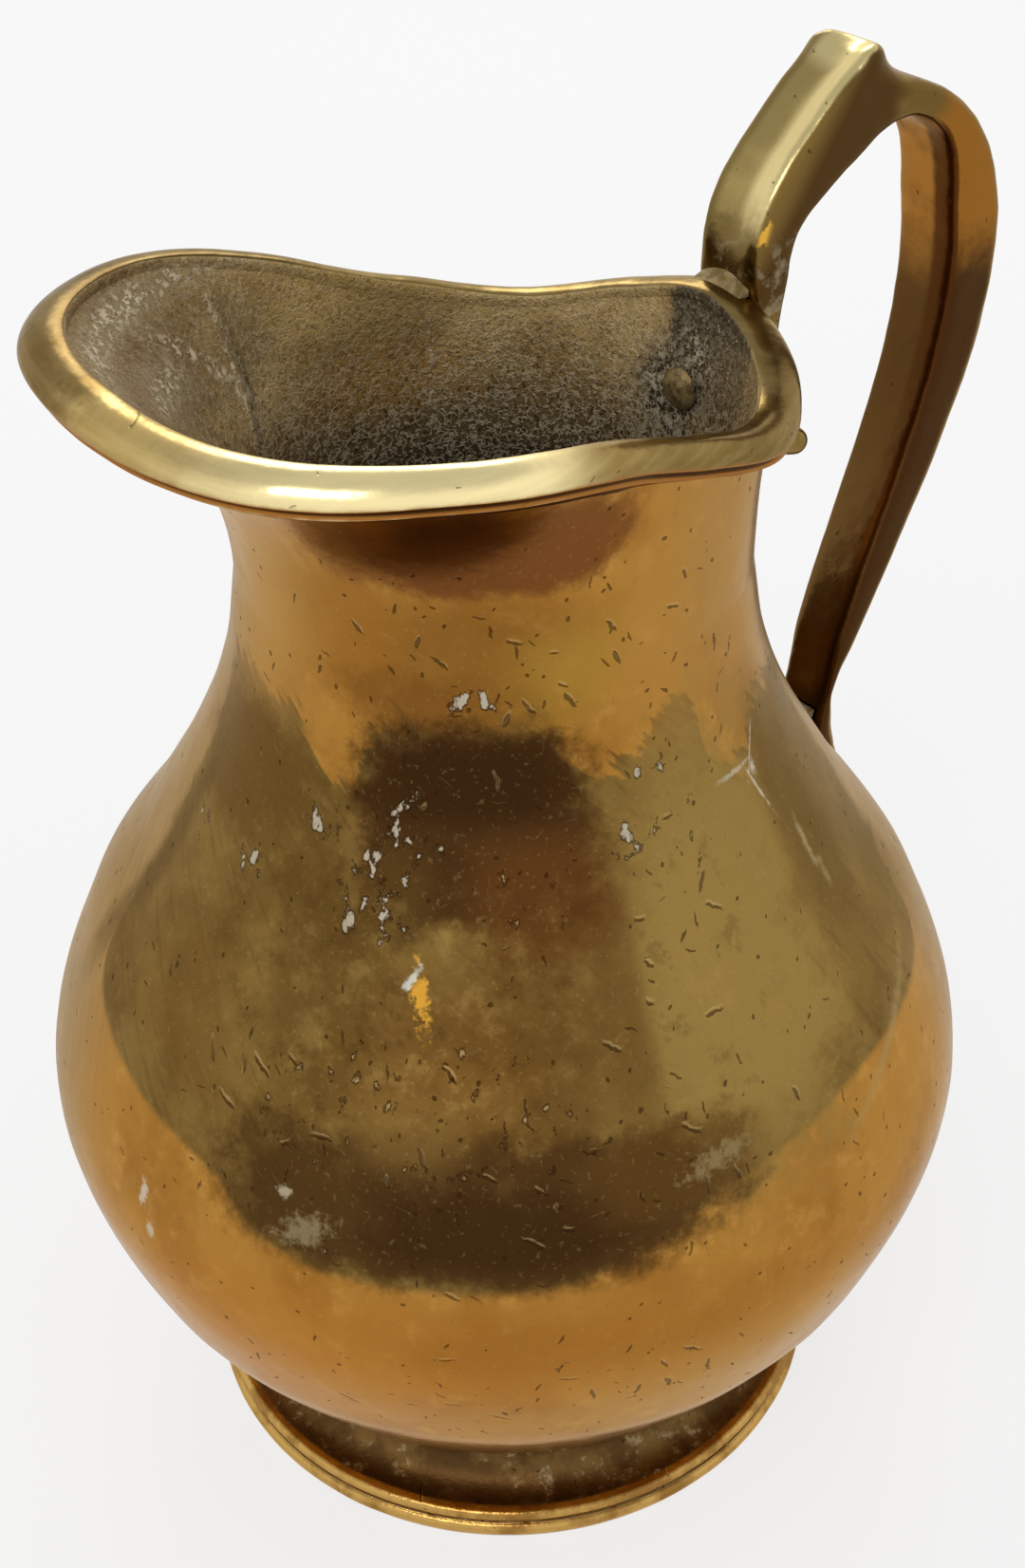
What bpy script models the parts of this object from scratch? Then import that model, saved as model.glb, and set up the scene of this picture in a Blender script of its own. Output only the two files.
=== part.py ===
"""Small cast brass jug: turned bowl with a pulled pouring lip, foot ring and strap handle.

Units are metres, +Z is up.  The handle stands on the +X side and the lip points to -X.
Every piece is drawn round the jug's own turning axis, which is an empty's place.  The
origin is on the surface that the jug stands on, under the middle of its whole length
from bowl to handle.
"""
from math import atan2, cos, pi, radians, sin

import bmesh
import bpy
from mathutils import Matrix, Vector

for old in list(bpy.data.objects):
    bpy.data.objects.remove(old, do_unlink=True)

# Driving dimensions: fits and smoothness
GAP = 0.0003             # clearance between pieces that touch
SEAT_GAP = GAP * 1.3     # the same, measured upwards under the sloping bowl
TURN_STEPS = 72          # sides of a turned piece
RIVET_STEPS = 24
SOLDER_STEPS = 20
LINE_STEPS = 2           # pieces between two stations of a profile

# Driving dimensions: bowl and neck, all outside radii
WALL = 0.0020
SEAT_HEIGHT = 0.0070     # flat underside of the bowl, inside the foot
SEAT_RADIUS = 0.0290
PLUG_HOLE_RADIUS = 0.0240
FOOT_JOINT_HEIGHT = 0.0140
FOOT_JOINT_RADIUS = 0.0398
LOW_FLANK_HEIGHT = 0.0260
LOW_FLANK_RADIUS = 0.0489
FLANK_HEIGHT = 0.0370
FLANK_RADIUS = 0.0555
BELLY_HEIGHT = 0.0570
BELLY_RADIUS = 0.0600
SHOULDER_HEIGHT = 0.0780
SHOULDER_RADIUS = 0.0536
SLOPE_HEIGHT = 0.0920
SLOPE_RADIUS = 0.0442
NECK_BASE_HEIGHT = 0.1060
NECK_BASE_RADIUS = 0.0365
NECK_RADIUS = 0.0303

# Driving dimensions: mouth.  The line is the brim's inner edge on one side of the jug
BRIM_HEIGHT = 0.1500
MOUTH_DEPTH = 0.0220     # the round neck turns into the mouth this far under the brim
NECK_HEIGHT = BRIM_HEIGHT - MOUTH_DEPTH
FLARE = 2.5              # power of the outward sweep between neck and brim
PULL_ROWS = 7
WALL_DROP = 0.0024       # the wall stops this far below the brim
MOUTH_STATIONS = (
    # angle from the handle, inner radius, height over BRIM_HEIGHT
    (0.0, 0.0311, 0.0009),
    (20.0, 0.0309, -0.0014),
    (45.0, 0.0294, -0.0037),
    (75.0, 0.0270, 0.0001),
    (95.0, 0.0281, 0.0034),
    (110.0, 0.0322, 0.0063),
    (130.0, 0.0402, 0.0096),
    (152.0, 0.0450, 0.0103),
    (180.0, 0.0442, 0.0098),
)

# Driving dimensions: rim band
BAND_WIDTH = 0.0054
BAND_LIP = 0.0012        # height of the band's rounded outer edge
BAND_HEIGHT = 0.0052
BAND_CROWN = 0.0004      # crest over the inner edge
BAND_FALL = 0.0024       # outer edge under the inner edge

# Driving dimensions: foot ring and base disc
FOOT_RADIUS = 0.0434
FOOT_BEAD = 0.0046       # height of the rounded bead
FOOT_WAIST_RADIUS = 0.0360
FOOT_WAIST_HEIGHT = 0.0095
FOOT_WALL = 0.0024
FOOT_TREAD = 0.0046      # from the middle of the bead in to the edge of the flat
FOOT_TREAD_EDGE = 0.0006 # from the middle of the bead in to where the flat starts
FOOT_LEDGE = 0.0010      # step inside the foot, over the tread
FOOT_TOP_EDGE = 0.0002   # between the bead's middle and the hollow waist
BRAZE_SIZE = 0.0018
DISC_THICKNESS = 0.0020
DISC_FLANGE = 0.0030
DISC_FLANGE_THICKNESS = 0.0015
DISC_EDGE = 0.0004

# Driving dimensions: handle
HANDLE_WIDTH = 0.0106
HANDLE_LOW_WIDTH = 0.0092
SPUR_WIDTH = 0.0080
HANDLE_EDGE = 0.0011     # rounding of the casting's edges
HANDLE_REACH = 0.0780    # outermost point of the strap from the jug's axis
ARCH_RISE = 0.0225       # top of the strap over BRIM_HEIGHT
STRAP_THICKNESS = 0.0082
STRAP_LOW_THICKNESS = 0.0032
STRAP_STATIONS = (
    # in from the reach and down from the arch, as shares of the way to the strap's
    # low end, and how far the thickness has grown from its low to its full value
    (0.800, 0.007, 0.55),
    (0.535, 0.038, 0.26),
    (0.267, 0.095, 0.56),
    (0.074, 0.184, 1.06),
    (0.000, 0.292, 1.13),
    (0.055, 0.432, 1.05),
    (0.249, 0.583, 0.81),
    (0.539, 0.753, 0.56),
    (0.857, 0.922, 0.18),
)
REST_RISE = 0.0046       # top of the thumb rest over the arch
REST_REACH = 0.0199      # tip of the thumb rest from the root's face
REST_EDGE = 0.0026
ROOT_THICKNESS = 0.0067
ROOT_ON_BAND = 0.72      # share of the band's width that lies in front of the root
ROOT_DROP = 0.0080       # where the root joins the spur, under the brim
SPUR_DROP = 0.0225       # tip of the spur under the brim
SPUR_LENGTH = 0.0179     # tip of the spur from the neck
SPUR_THICKNESS = 0.0032
PAD_HEIGHT = 0.0690      # low end of the strap on the shoulder
PAD_THICKNESS = 0.0025
PAD_TIP = 0.0012
PAD_RISE = 0.0118        # the strap leaves the shoulder this far above its low end
STRAP_LIFT = 0.0060      # and is clear of it this much higher

# Driving dimensions: rivets and solder
RIVET_RADIUS = 0.0020
RIVET_HEAD_RADIUS = 0.0034
RIVET_HEAD_HEIGHT = 0.0015
UPPER_RIVET_DROP = 0.0103    # under the brim
UPPER_RIVET_DEPTH = 0.0040
LOWER_RIVET_RISE = 0.0062    # over the low end of the strap
HEAD_SINK = 0.0003           # the outer head is set this deep into the strap
ROOT_SOLDER_RADIUS = 0.0026
LOWER_SOLDER_RADIUS = 0.0026
LOWER_SOLDER_RISE = 0.0014

UPPER_RIVET_HEIGHT = BRIM_HEIGHT - UPPER_RIVET_DROP
LOWER_RIVET_HEIGHT = PAD_HEIGHT + LOWER_RIVET_RISE
LIFT_HEIGHT = PAD_HEIGHT + PAD_RISE
ARCH_HEIGHT = BRIM_HEIGHT + ARCH_RISE

# The jug's turning axis stands this far towards the lip from the middle of its length
AXIS_OFFSET = (HANDLE_REACH - BELLY_RADIUS) / 2


def new_collection(name):
    made = bpy.data.collections.new(name)
    bpy.context.scene.collection.children.link(made)
    return made


PARTS = new_collection("brass_jug")
CUTTERS = new_collection("cutters")

jug_axis = bpy.data.objects.new("jug_axis", None)
jug_axis.location = (-AXIS_OFFSET, 0.0, 0.0)
PARTS.objects.link(jug_axis)


def metal(name, colour, roughness):
    """Plain Principled BSDF metal for one piece."""
    made = bpy.data.materials.new(name + "_metal")
    made.use_nodes = True
    shader = made.node_tree.nodes["Principled BSDF"]
    shader.inputs["Base Color"].default_value = (*colour, 1.0)
    shader.inputs["Metallic"].default_value = 1.0
    shader.inputs["Roughness"].default_value = roughness
    return made


def add_object(name, mesh, collection=PARTS):
    made = bpy.data.objects.new(name, mesh)
    made.parent = jug_axis
    collection.objects.link(made)
    return made


def finish(piece, colour, roughness):
    """Give a piece its own metal, and smooth shading with crisp edges."""
    piece.data.materials.clear()
    piece.data.materials.append(metal(piece.name, colour, roughness))
    piece.data.shade_smooth()
    piece.data.set_sharp_from_angle(angle=radians(35.0))


def evaluated_mesh(piece):
    graph = bpy.context.evaluated_depsgraph_get()
    return bpy.data.meshes.new_from_object(piece.evaluated_get(graph), depsgraph=graph)


def grown_cutter(piece):
    """A copy of a piece, as it is now, with every face moved out by the clearance."""
    mesh = evaluated_mesh(piece)
    shape = bmesh.new()
    shape.from_mesh(mesh)
    bmesh.ops.triangulate(shape, faces=shape.faces)
    shape.normal_update()
    moves = [vert.normal * vert.calc_shell_factor() * GAP for vert in shape.verts]
    for vert, move in zip(shape.verts, moves):
        vert.co += move
    shape.to_mesh(mesh)
    shape.free()
    cutter = add_object(piece.name + "_space", mesh, CUTTERS)
    cutter.hide_render = True
    cutter.display_type = "WIRE"
    return cutter


def cut(piece, *cutters):
    for cutter in cutters:
        modifier = piece.modifiers.new("cut_" + cutter.name, "BOOLEAN")
        modifier.operation = "DIFFERENCE"
        modifier.object = cutter


def line_mesh(name, points, closed=False):
    """A bare line in the XZ plane: points are (radius, height) pairs."""
    mesh = bpy.data.meshes.new(name)
    edges = [(i, i + 1) for i in range(len(points) - 1)]
    if closed:
        edges.append((len(points) - 1, 0))
    mesh.from_pydata([(r, 0.0, z) for r, z in points], edges, [])
    return mesh


def turned(name, points, closed=False, steps=TURN_STEPS):
    """Turn a profile round the jug's axis.  The profile runs down its outer side."""
    piece = add_object(name, line_mesh(name, points, closed))
    screw = piece.modifiers.new("turn", "SCREW")
    screw.steps = steps
    screw.render_steps = steps
    screw.use_merge_vertices = True
    screw.merge_threshold = 0.00001
    screw.use_smooth_shade = True
    mesh = evaluated_mesh(piece)
    piece.modifiers.clear()
    piece.data = mesh
    return piece


def hermite(start, end, start_slope, end_slope, t):
    a = 2 * t ** 3 - 3 * t ** 2 + 1
    b = t ** 3 - 2 * t ** 2 + t
    c = 3 * t ** 2 - 2 * t ** 3
    d = t ** 3 - t ** 2
    return a * start + b * start_slope + c * end + d * end_slope


def smooth_value(stations, at):
    """Smooth curve through (position, value) stations, level at both ends."""
    places = [place for place, _ in stations]
    values = [value for _, value in stations]
    last = len(stations) - 1
    slopes = [0.0] * (last + 1)
    for i in range(1, last):
        slopes[i] = (values[i + 1] - values[i - 1]) / (places[i + 1] - places[i - 1])
    i = 0
    while i < last - 1 and at > places[i + 1]:
        i += 1
    span = places[i + 1] - places[i]
    t = (at - places[i]) / span
    return hermite(values[i], values[i + 1], slopes[i] * span, slopes[i + 1] * span, t)


def smooth_line(points, steps):
    """Smooth line through 2D points, with steps pieces between neighbours."""
    points = [Vector(point) for point in points]
    last = len(points) - 1
    slopes = []
    for i in range(last + 1):
        before = points[max(i - 1, 0)]
        after = points[min(i + 1, last)]
        slopes.append((after - before).normalized())
    line = []
    for i in range(last):
        reach = (points[i + 1] - points[i]).length
        for step in range(steps):
            line.append(hermite(points[i], points[i + 1], slopes[i] * reach,
                                slopes[i + 1] * reach, step / steps))
    line.append(points[last])
    return line


def offset_line(line, distance):
    """Move an open 2D line sideways, to its left for a positive distance."""
    moved = []
    for i, point in enumerate(line):
        along = (line[min(i + 1, len(line) - 1)] - line[max(i - 1, 0)]).normalized()
        moved.append(point + Vector((-along.y, along.x)) * distance)
    return moved


def loft(name, rings, collection=PARTS):
    """A closed tube through rings of points that run round in a loop."""
    shape = bmesh.new()
    rows = [[shape.verts.new(point) for point in ring] for ring in rings]
    for this, following in zip(rows, rows[1:] + rows[:1]):
        count = len(this)
        for i in range(count):
            j = (i + 1) % count
            shape.faces.new((this[i], this[j], following[j], following[i]))
    bmesh.ops.recalc_face_normals(shape, faces=shape.faces)
    mesh = bpy.data.meshes.new(name)
    shape.to_mesh(mesh)
    shape.free()
    return add_object(name, mesh, collection)


# The bowl's outside line, from the plug hole up to the neck
OUTER_LINE = [Vector((PLUG_HOLE_RADIUS, SEAT_HEIGHT))] + smooth_line((
    (SEAT_RADIUS, SEAT_HEIGHT),
    (FOOT_JOINT_RADIUS, FOOT_JOINT_HEIGHT),
    (LOW_FLANK_RADIUS, LOW_FLANK_HEIGHT),
    (FLANK_RADIUS, FLANK_HEIGHT),
    (BELLY_RADIUS, BELLY_HEIGHT),
    (SHOULDER_RADIUS, SHOULDER_HEIGHT),
    (SLOPE_RADIUS, SLOPE_HEIGHT),
    (NECK_BASE_RADIUS, NECK_BASE_HEIGHT),
    (NECK_RADIUS, NECK_HEIGHT),
), LINE_STEPS)

# Its inside line, whose last radius is the inside of the neck
INNER_LINE = offset_line(OUTER_LINE, WALL)
NECK_INSIDE = INNER_LINE[-1].x


def bowl_at(height):
    """Outside radius of the bowl and its outward direction at a height."""
    for low, high in zip(OUTER_LINE[1:], OUTER_LINE[2:]):
        if low.y <= height <= high.y:
            share = (height - low.y) / (high.y - low.y)
            along = (high - low).normalized()
            return low.x + share * (high.x - low.x), Vector((along.y, -along.x))
    return NECK_RADIUS, Vector((1.0, 0.0))


def underside_at(radius):
    """Height of the bowl's outside between its flat seat and its flank."""
    for inner, outer in zip(OUTER_LINE[1:], OUTER_LINE[2:]):
        if inner.x <= radius <= outer.x:
            share = (radius - inner.x) / (outer.x - inner.x)
            return inner.y + share * (outer.y - inner.y)
    return SEAT_HEIGHT


def mouth_point(angle):
    """Inner edge of the brim at an angle from the handle, in radians."""
    side = abs(atan2(sin(angle), cos(angle))) * 180.0 / pi
    radius = smooth_value([(a, r) for a, r, _ in MOUTH_STATIONS], side)
    rise = smooth_value([(a, h) for a, _, h in MOUTH_STATIONS], side)
    return Vector((radius * cos(angle), radius * sin(angle), BRIM_HEIGHT + rise))


def mouth_outward(angle):
    """Level direction square to the brim's line."""
    along = mouth_point(angle + 0.01) - mouth_point(angle - 0.01)
    return Vector((along.y, -along.x, 0.0)).normalized()


def pulled(point):
    """Move a point of the straight neck to its place in the flared mouth."""
    share = (point.z - NECK_HEIGHT) / (BRIM_HEIGHT - NECK_HEIGHT)
    angle = atan2(point.y, point.x)
    top = mouth_point(angle) - Vector((0.0, 0.0, WALL_DROP))
    level = Vector((NECK_INSIDE * cos(angle), NECK_INSIDE * sin(angle)))
    place = level.lerp(top.xy, share ** FLARE)
    return Vector((place.x, place.y, NECK_HEIGHT + share * (top.z - NECK_HEIGHT)))


def throat_radius(height):
    """Inside radius of the neck on the handle's side, at a height."""
    rim = mouth_point(0.0)
    share = (height - NECK_HEIGHT) / (rim.z - WALL_DROP - NECK_HEIGHT)
    return NECK_INSIDE + (rim.x - NECK_INSIDE) * min(max(share, 0.0), 1.0) ** FLARE


def make_body():
    """Bowl, neck and lip in one casting: the inner face, thickened outwards."""
    rows = [(point.x, point.y) for point in INNER_LINE[:-1]]
    for row in range(PULL_ROWS + 1):
        height = NECK_HEIGHT + row / PULL_ROWS * MOUTH_DEPTH
        rows.append((NECK_INSIDE, height))
    body = turned("body_shell", rows[::-1])
    for vert in body.data.vertices:
        if vert.co.z > NECK_HEIGHT + 0.00001:
            vert.co = pulled(vert.co.copy())
    wall = body.modifiers.new("wall", "SOLIDIFY")
    wall.thickness = WALL
    wall.offset = 1.0
    wall.use_even_offset = True
    return body


def band_section():
    """Outline of the rim band as (outward, up) pairs from the brim's inner edge."""
    return (
        (0.0, 0.0),
        (BAND_WIDTH * 0.25, BAND_CROWN * 0.8),
        (BAND_WIDTH * 0.55, BAND_CROWN),
        (BAND_WIDTH * 0.85, -BAND_FALL * 0.35),
        (BAND_WIDTH, -BAND_FALL),
        (BAND_WIDTH * 0.92, -BAND_FALL - BAND_LIP),
        (BAND_WIDTH * 0.62, -BAND_HEIGHT * 0.88),
        (WALL + GAP, -BAND_HEIGHT),
        (WALL + GAP, -WALL_DROP + GAP),
        (0.0, -WALL_DROP + GAP),
    )


def make_band():
    rings = []
    for step in range(TURN_STEPS):
        angle = 2 * pi * step / TURN_STEPS
        edge = mouth_point(angle)
        outward = mouth_outward(angle)
        rings.append([edge + outward * out + Vector((0.0, 0.0, up)) for out, up in band_section()])
    return loft("rim_band", rings)


def make_foot():
    """Foot ring: flat tread, rounded bead, hollow waist cut to the bowl's underside."""
    bead = FOOT_BEAD / 2
    centre = FOOT_RADIUS - bead
    inner = FOOT_WAIST_RADIUS - FOOT_WALL
    middle = (FOOT_WAIST_RADIUS + inner) / 2
    reach = centre - FOOT_TOP_EDGE - FOOT_WAIST_RADIUS
    rise = FOOT_WAIST_HEIGHT - FOOT_BEAD
    points = [(FOOT_WAIST_RADIUS, underside_at(FOOT_WAIST_RADIUS) - SEAT_GAP)]
    for step in range(6):
        turn = radians(90.0 * step / 5)
        points.append((FOOT_WAIST_RADIUS + reach * (1 - cos(turn)),
                       FOOT_WAIST_HEIGHT - rise * sin(turn)))
    for step in range(7):
        turn = radians(90.0 - 28.0 * step)
        points.append((centre + bead * cos(turn), bead + bead * sin(turn)))
    points += [
        (centre - FOOT_TREAD_EDGE, 0.0),
        (centre - FOOT_TREAD, 0.0),
        (inner + FOOT_LEDGE, FOOT_WAIST_HEIGHT * 0.4),
        (inner, FOOT_WAIST_HEIGHT * 0.8),
        (inner, underside_at(inner) - SEAT_GAP),
        (middle, underside_at(middle) - SEAT_GAP),
    ]
    return turned("foot_ring", points, closed=True)


def make_braze():
    """Fillet of brazing metal in the corner inside the foot."""
    wall = FOOT_WAIST_RADIUS - FOOT_WALL - GAP
    corner = underside_at(wall) - SEAT_GAP
    inner = wall - BRAZE_SIZE
    return turned("foot_braze", [
        (wall, corner),
        (wall, corner - BRAZE_SIZE),
        (wall - BRAZE_SIZE * 0.35, corner - BRAZE_SIZE * 0.62),
        (inner, underside_at(inner) - SEAT_GAP - BRAZE_SIZE * 0.12),
        (inner, underside_at(inner) - SEAT_GAP),
    ], closed=True)


def make_disc():
    """Stepped disc that closes the core hole in the bowl's underside."""
    plug = PLUG_HOLE_RADIUS - GAP
    top = SEAT_HEIGHT + DISC_THICKNESS
    step = SEAT_HEIGHT - GAP
    low = step - DISC_FLANGE_THICKNESS
    flange = plug + DISC_FLANGE
    return turned("base_disc", [
        (0.0, top),
        (plug - DISC_EDGE, top),
        (plug, top - DISC_EDGE),
        (plug, step),
        (flange, step),
        (flange, low + DISC_EDGE),
        (flange - DISC_EDGE, low),
        (0.0, low),
    ])


def strap_lines():
    """Outer and inner line of the strap in the XZ plane, from the arch down."""
    low_x = bowl_at(LIFT_HEIGHT)[0] + STRAP_LOW_THICKNESS
    low_z = LIFT_HEIGHT + STRAP_LIFT
    outer = [Vector((HANDLE_REACH - share_in * (HANDLE_REACH - low_x),
                     ARCH_HEIGHT - share_down * (ARCH_HEIGHT - low_z)))
             for share_in, share_down, _ in STRAP_STATIONS]
    along = [outer[0] * 2 - outer[1]] + outer + [Vector((low_x, low_z))]
    inner = []
    for i, (_, _, growth) in enumerate(STRAP_STATIONS):
        course = (along[i + 2] - along[i]).normalized()
        thickness = STRAP_LOW_THICKNESS + (STRAP_THICKNESS - STRAP_LOW_THICKNESS) * growth
        inner.append(outer[i] + Vector((course.y, -course.x)) * thickness)
    return outer + [Vector((low_x, low_z))], inner


def handle_outline():
    """Side view of the handle in the XZ plane, once round its edge."""
    rim = mouth_point(0.0)
    root = Vector((rim.x + BAND_WIDTH * ROOT_ON_BAND, rim.z))
    back = root.x + ROOT_THICKNESS
    arch = ARCH_HEIGHT
    rise = arch - root.y
    rest_x = root.x + REST_REACH
    rest_z = arch + REST_RISE
    hidden = WALL * 0.25
    bury = WALL - hidden
    spur = Vector((NECK_RADIUS + SPUR_LENGTH, BRIM_HEIGHT - SPUR_DROP))
    spur_top = spur.y + SPUR_THICKNESS
    throat = (UPPER_RIVET_HEIGHT + root.y - WALL_DROP) / 2
    outer, inner = strap_lines()
    pad_x, pad_out = bowl_at(PAD_HEIGHT)
    rivet_x, rivet_out = bowl_at(LOWER_RIVET_HEIGHT)
    lift_x, _ = bowl_at(LIFT_HEIGHT)
    return (
        # up the neck, inside its wall, and out over the band
        (throat_radius(spur_top) + hidden, spur_top + HANDLE_EDGE),
        (throat_radius(UPPER_RIVET_HEIGHT) + hidden, UPPER_RIVET_HEIGHT),
        (throat_radius(throat) + hidden, throat),
        (rim.x + hidden, root.y - WALL_DROP - WALL),
        (rim.x + WALL * 1.5, root.y - WALL_DROP - WALL * 0.5),
        (root.x - BAND_CROWN * 0.75, root.y - BAND_CROWN * 2),
        # face towards the mouth, rising to the thumb rest
        (root.x, root.y + rise * 0.23),
        (root.x + REST_REACH * 0.15, root.y + rise * 0.565),
        (root.x + REST_REACH * 0.43, root.y + rise * 0.84),
        (root.x + REST_REACH * 0.73, rest_z - REST_EDGE * 1.15),
        (rest_x, rest_z - REST_EDGE * 0.15),
        (rest_x + REST_EDGE * 0.65, rest_z - REST_EDGE * 1.15),
        # crown and outer face of the strap
        *outer,
        # end of the strap, turned out to lie on the shoulder
        (rivet_x + rivet_out.x * PAD_THICKNESS, LOWER_RIVET_HEIGHT + rivet_out.y * PAD_THICKNESS),
        (pad_x + pad_out.x * PAD_THICKNESS * 0.8, PAD_HEIGHT + pad_out.y * PAD_THICKNESS * 0.8),
        (pad_x + pad_out.x * PAD_THICKNESS * 0.35, PAD_HEIGHT - PAD_TIP),
        (pad_x - bury, PAD_HEIGHT + bury),
        (rivet_x - bury, LOWER_RIVET_HEIGHT),
        (lift_x - hidden, LIFT_HEIGHT),
        # inner face, back up to the arch
        (lift_x + WALL * 0.7, LIFT_HEIGHT + STRAP_LIFT),
        *reversed(inner),
        (root.x + REST_REACH * 0.85, arch - STRAP_THICKNESS * 1.05),
        (root.x + ROOT_THICKNESS * 1.7, arch - STRAP_THICKNESS * 1.47),
        (back + HANDLE_EDGE * 0.5, root.y + rise * 0.27),
        (back - HANDLE_EDGE * 0.55, root.y),
        (back - HANDLE_EDGE * 1.25, root.y - ROOT_DROP),
        # spur that curls out under the root
        (back - HANDLE_EDGE * 0.7, spur_top + SPUR_THICKNESS * 1.65),
        (spur.x - SPUR_THICKNESS * 1.25, spur_top + SPUR_THICKNESS * 0.25),
        (spur.x - SPUR_THICKNESS * 0.2, spur.y + SPUR_THICKNESS * 0.55),
        (spur.x - SPUR_THICKNESS * 0.25, spur.y - SPUR_THICKNESS * 0.38),
        (spur.x - SPUR_THICKNESS * 1.4, spur.y - SPUR_THICKNESS * 0.25),
        (root.x + SPUR_THICKNESS * 0.38, spur.y + SPUR_THICKNESS * 0.38),
    )


def half_width_at(x, z):
    """Half the handle's width: full above the rim, narrower at both ends."""
    spur_height = BRIM_HEIGHT - SPUR_DROP
    in_spur = x < (NECK_RADIUS + HANDLE_REACH) / 2 and z > spur_height - HANDLE_WIDTH
    if in_spur and z < BRIM_HEIGHT:
        share = min((BRIM_HEIGHT - z) / (SPUR_DROP - SPUR_THICKNESS), 1.0)
        return (HANDLE_WIDTH + (SPUR_WIDTH - HANDLE_WIDTH) * share) / 2
    share = (BRIM_HEIGHT - z) / (BRIM_HEIGHT - PAD_HEIGHT)
    share = min(max(share, 0.0), 1.0)
    return (HANDLE_WIDTH + (HANDLE_LOW_WIDTH - HANDLE_WIDTH) * share) / 2


def make_handle():
    """Strap handle with its thumb rest: a flat outline with rounded edges."""
    curve = bpy.data.curves.new("handle_line", "CURVE")
    curve.dimensions = "2D"
    curve.fill_mode = "BOTH"
    curve.extrude = HANDLE_WIDTH / 2
    curve.resolution_u = 2
    outline = handle_outline()
    spline = curve.splines.new("BEZIER")
    spline.bezier_points.add(len(outline) - 1)
    spline.use_cyclic_u = True
    for point, (x, z) in zip(spline.bezier_points, outline):
        point.co = (x, z, 0.0)
        point.handle_left_type = "AUTO"
        point.handle_right_type = "AUTO"
    guide = add_object("handle_line", curve, CUTTERS)
    mesh = evaluated_mesh(guide)
    bpy.data.objects.remove(guide, do_unlink=True)
    mesh.transform(Matrix.Rotation(radians(90.0), 4, "X"))
    shape = bmesh.new()
    shape.from_mesh(mesh)
    bmesh.ops.remove_doubles(shape, verts=shape.verts, dist=0.00001)
    flat = [edge for edge in shape.edges if edge.calc_face_angle(1.0) < 0.001]
    bmesh.ops.dissolve_edges(shape, edges=flat, use_verts=False)
    for vert in shape.verts:
        side = 1.0 if vert.co.y > 0 else -1.0
        vert.co.y = side * half_width_at(vert.co.x, vert.co.z)
    bmesh.ops.recalc_face_normals(shape, faces=shape.faces)
    shape.to_mesh(mesh)
    shape.free()
    handle = add_object("handle", mesh)
    edge = handle.modifiers.new("edge", "BEVEL")
    edge.width = HANDLE_EDGE
    edge.segments = 2
    edge.limit_method = "ANGLE"
    edge.angle_limit = radians(50.0)
    edge.use_clamp_overlap = False
    handle.modifiers.new("facets", "TRIANGULATE")
    return handle


def head_clearance(bowl_radius):
    """How far a rivet's flat head stands off the round wall inside, to clear it."""
    return RIVET_HEAD_RADIUS ** 2 / (2 * (bowl_radius - WALL)) + SEAT_GAP


def make_rivet(name, place, outward, inner_end, outer_end, outer_head):
    """Round rivet along outward: a domed head inside the jug, one outside if asked."""
    head = RIVET_HEAD_RADIUS
    dome = [(head * cos(radians(a)), RIVET_HEAD_HEIGHT * sin(radians(a))) for a in (90, 60, 30, 0)]
    points = [(r if r > 0.00001 else 0.0, -inner_end - z) for r, z in dome]
    points += [(RIVET_RADIUS, -inner_end)]
    if outer_head:
        points += [(RIVET_RADIUS, outer_end), (head, outer_end)]
        points += [(r if r > 0.00001 else 0.0, outer_end + z) for r, z in dome[-2::-1]]
    else:
        points += [(RIVET_RADIUS, outer_end), (0.0, outer_end)]
    rivet = turned(name, points[::-1], steps=RIVET_STEPS)
    turn = Vector((0.0, 0.0, 1.0)).rotation_difference(outward).to_matrix().to_4x4()
    rivet.data.transform(Matrix.Translation(place) @ turn)
    return rivet


def make_solder(name, place, radius, width):
    """A short bar of solder across the handle, later cut back to the corner it fills."""
    shape = bmesh.new()
    bmesh.ops.create_cone(shape, cap_ends=True, segments=SOLDER_STEPS, radius1=radius,
                          radius2=radius, depth=width)
    mesh = bpy.data.meshes.new(name)
    shape.to_mesh(mesh)
    shape.free()
    mesh.transform(Matrix.Translation(place) @ Matrix.Rotation(radians(90.0), 4, "X"))
    return add_object(name, mesh)


body = make_body()
band = make_band()
foot = make_foot()
braze = make_braze()
disc = make_disc()
handle = make_handle()

upper_place = Vector((throat_radius(UPPER_RIVET_HEIGHT), 0.0, UPPER_RIVET_HEIGHT))
upper_rivet = make_rivet("upper_rivet", upper_place, Vector((1.0, 0.0, 0.0)),
                         head_clearance(NECK_RADIUS), WALL + UPPER_RIVET_DEPTH, False)
lower_radius, lower_out = bowl_at(LOWER_RIVET_HEIGHT)
lower_place = Vector((lower_radius, 0.0, LOWER_RIVET_HEIGHT))
lower_rivet = make_rivet("lower_rivet", lower_place, Vector((lower_out.x, 0.0, lower_out.y)),
                         WALL + head_clearance(lower_radius), PAD_THICKNESS - HEAD_SINK, True)

rim_place = mouth_point(0.0) + Vector((BAND_WIDTH * 0.45, 0.0, BAND_CROWN))
root_solder = make_solder("root_solder", rim_place, ROOT_SOLDER_RADIUS,
                          HANDLE_WIDTH - HANDLE_EDGE * 2)
corner_height = LIFT_HEIGHT + LOWER_SOLDER_RISE
corner_radius, corner_out = bowl_at(corner_height)
corner_place = Vector((corner_radius + corner_out.x * WALL / 2, 0.0,
                       corner_height + corner_out.y * WALL / 2))
lower_solder = make_solder("lower_solder", corner_place, LOWER_SOLDER_RADIUS,
                           HANDLE_LOW_WIDTH - HANDLE_EDGE * 2)

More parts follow.
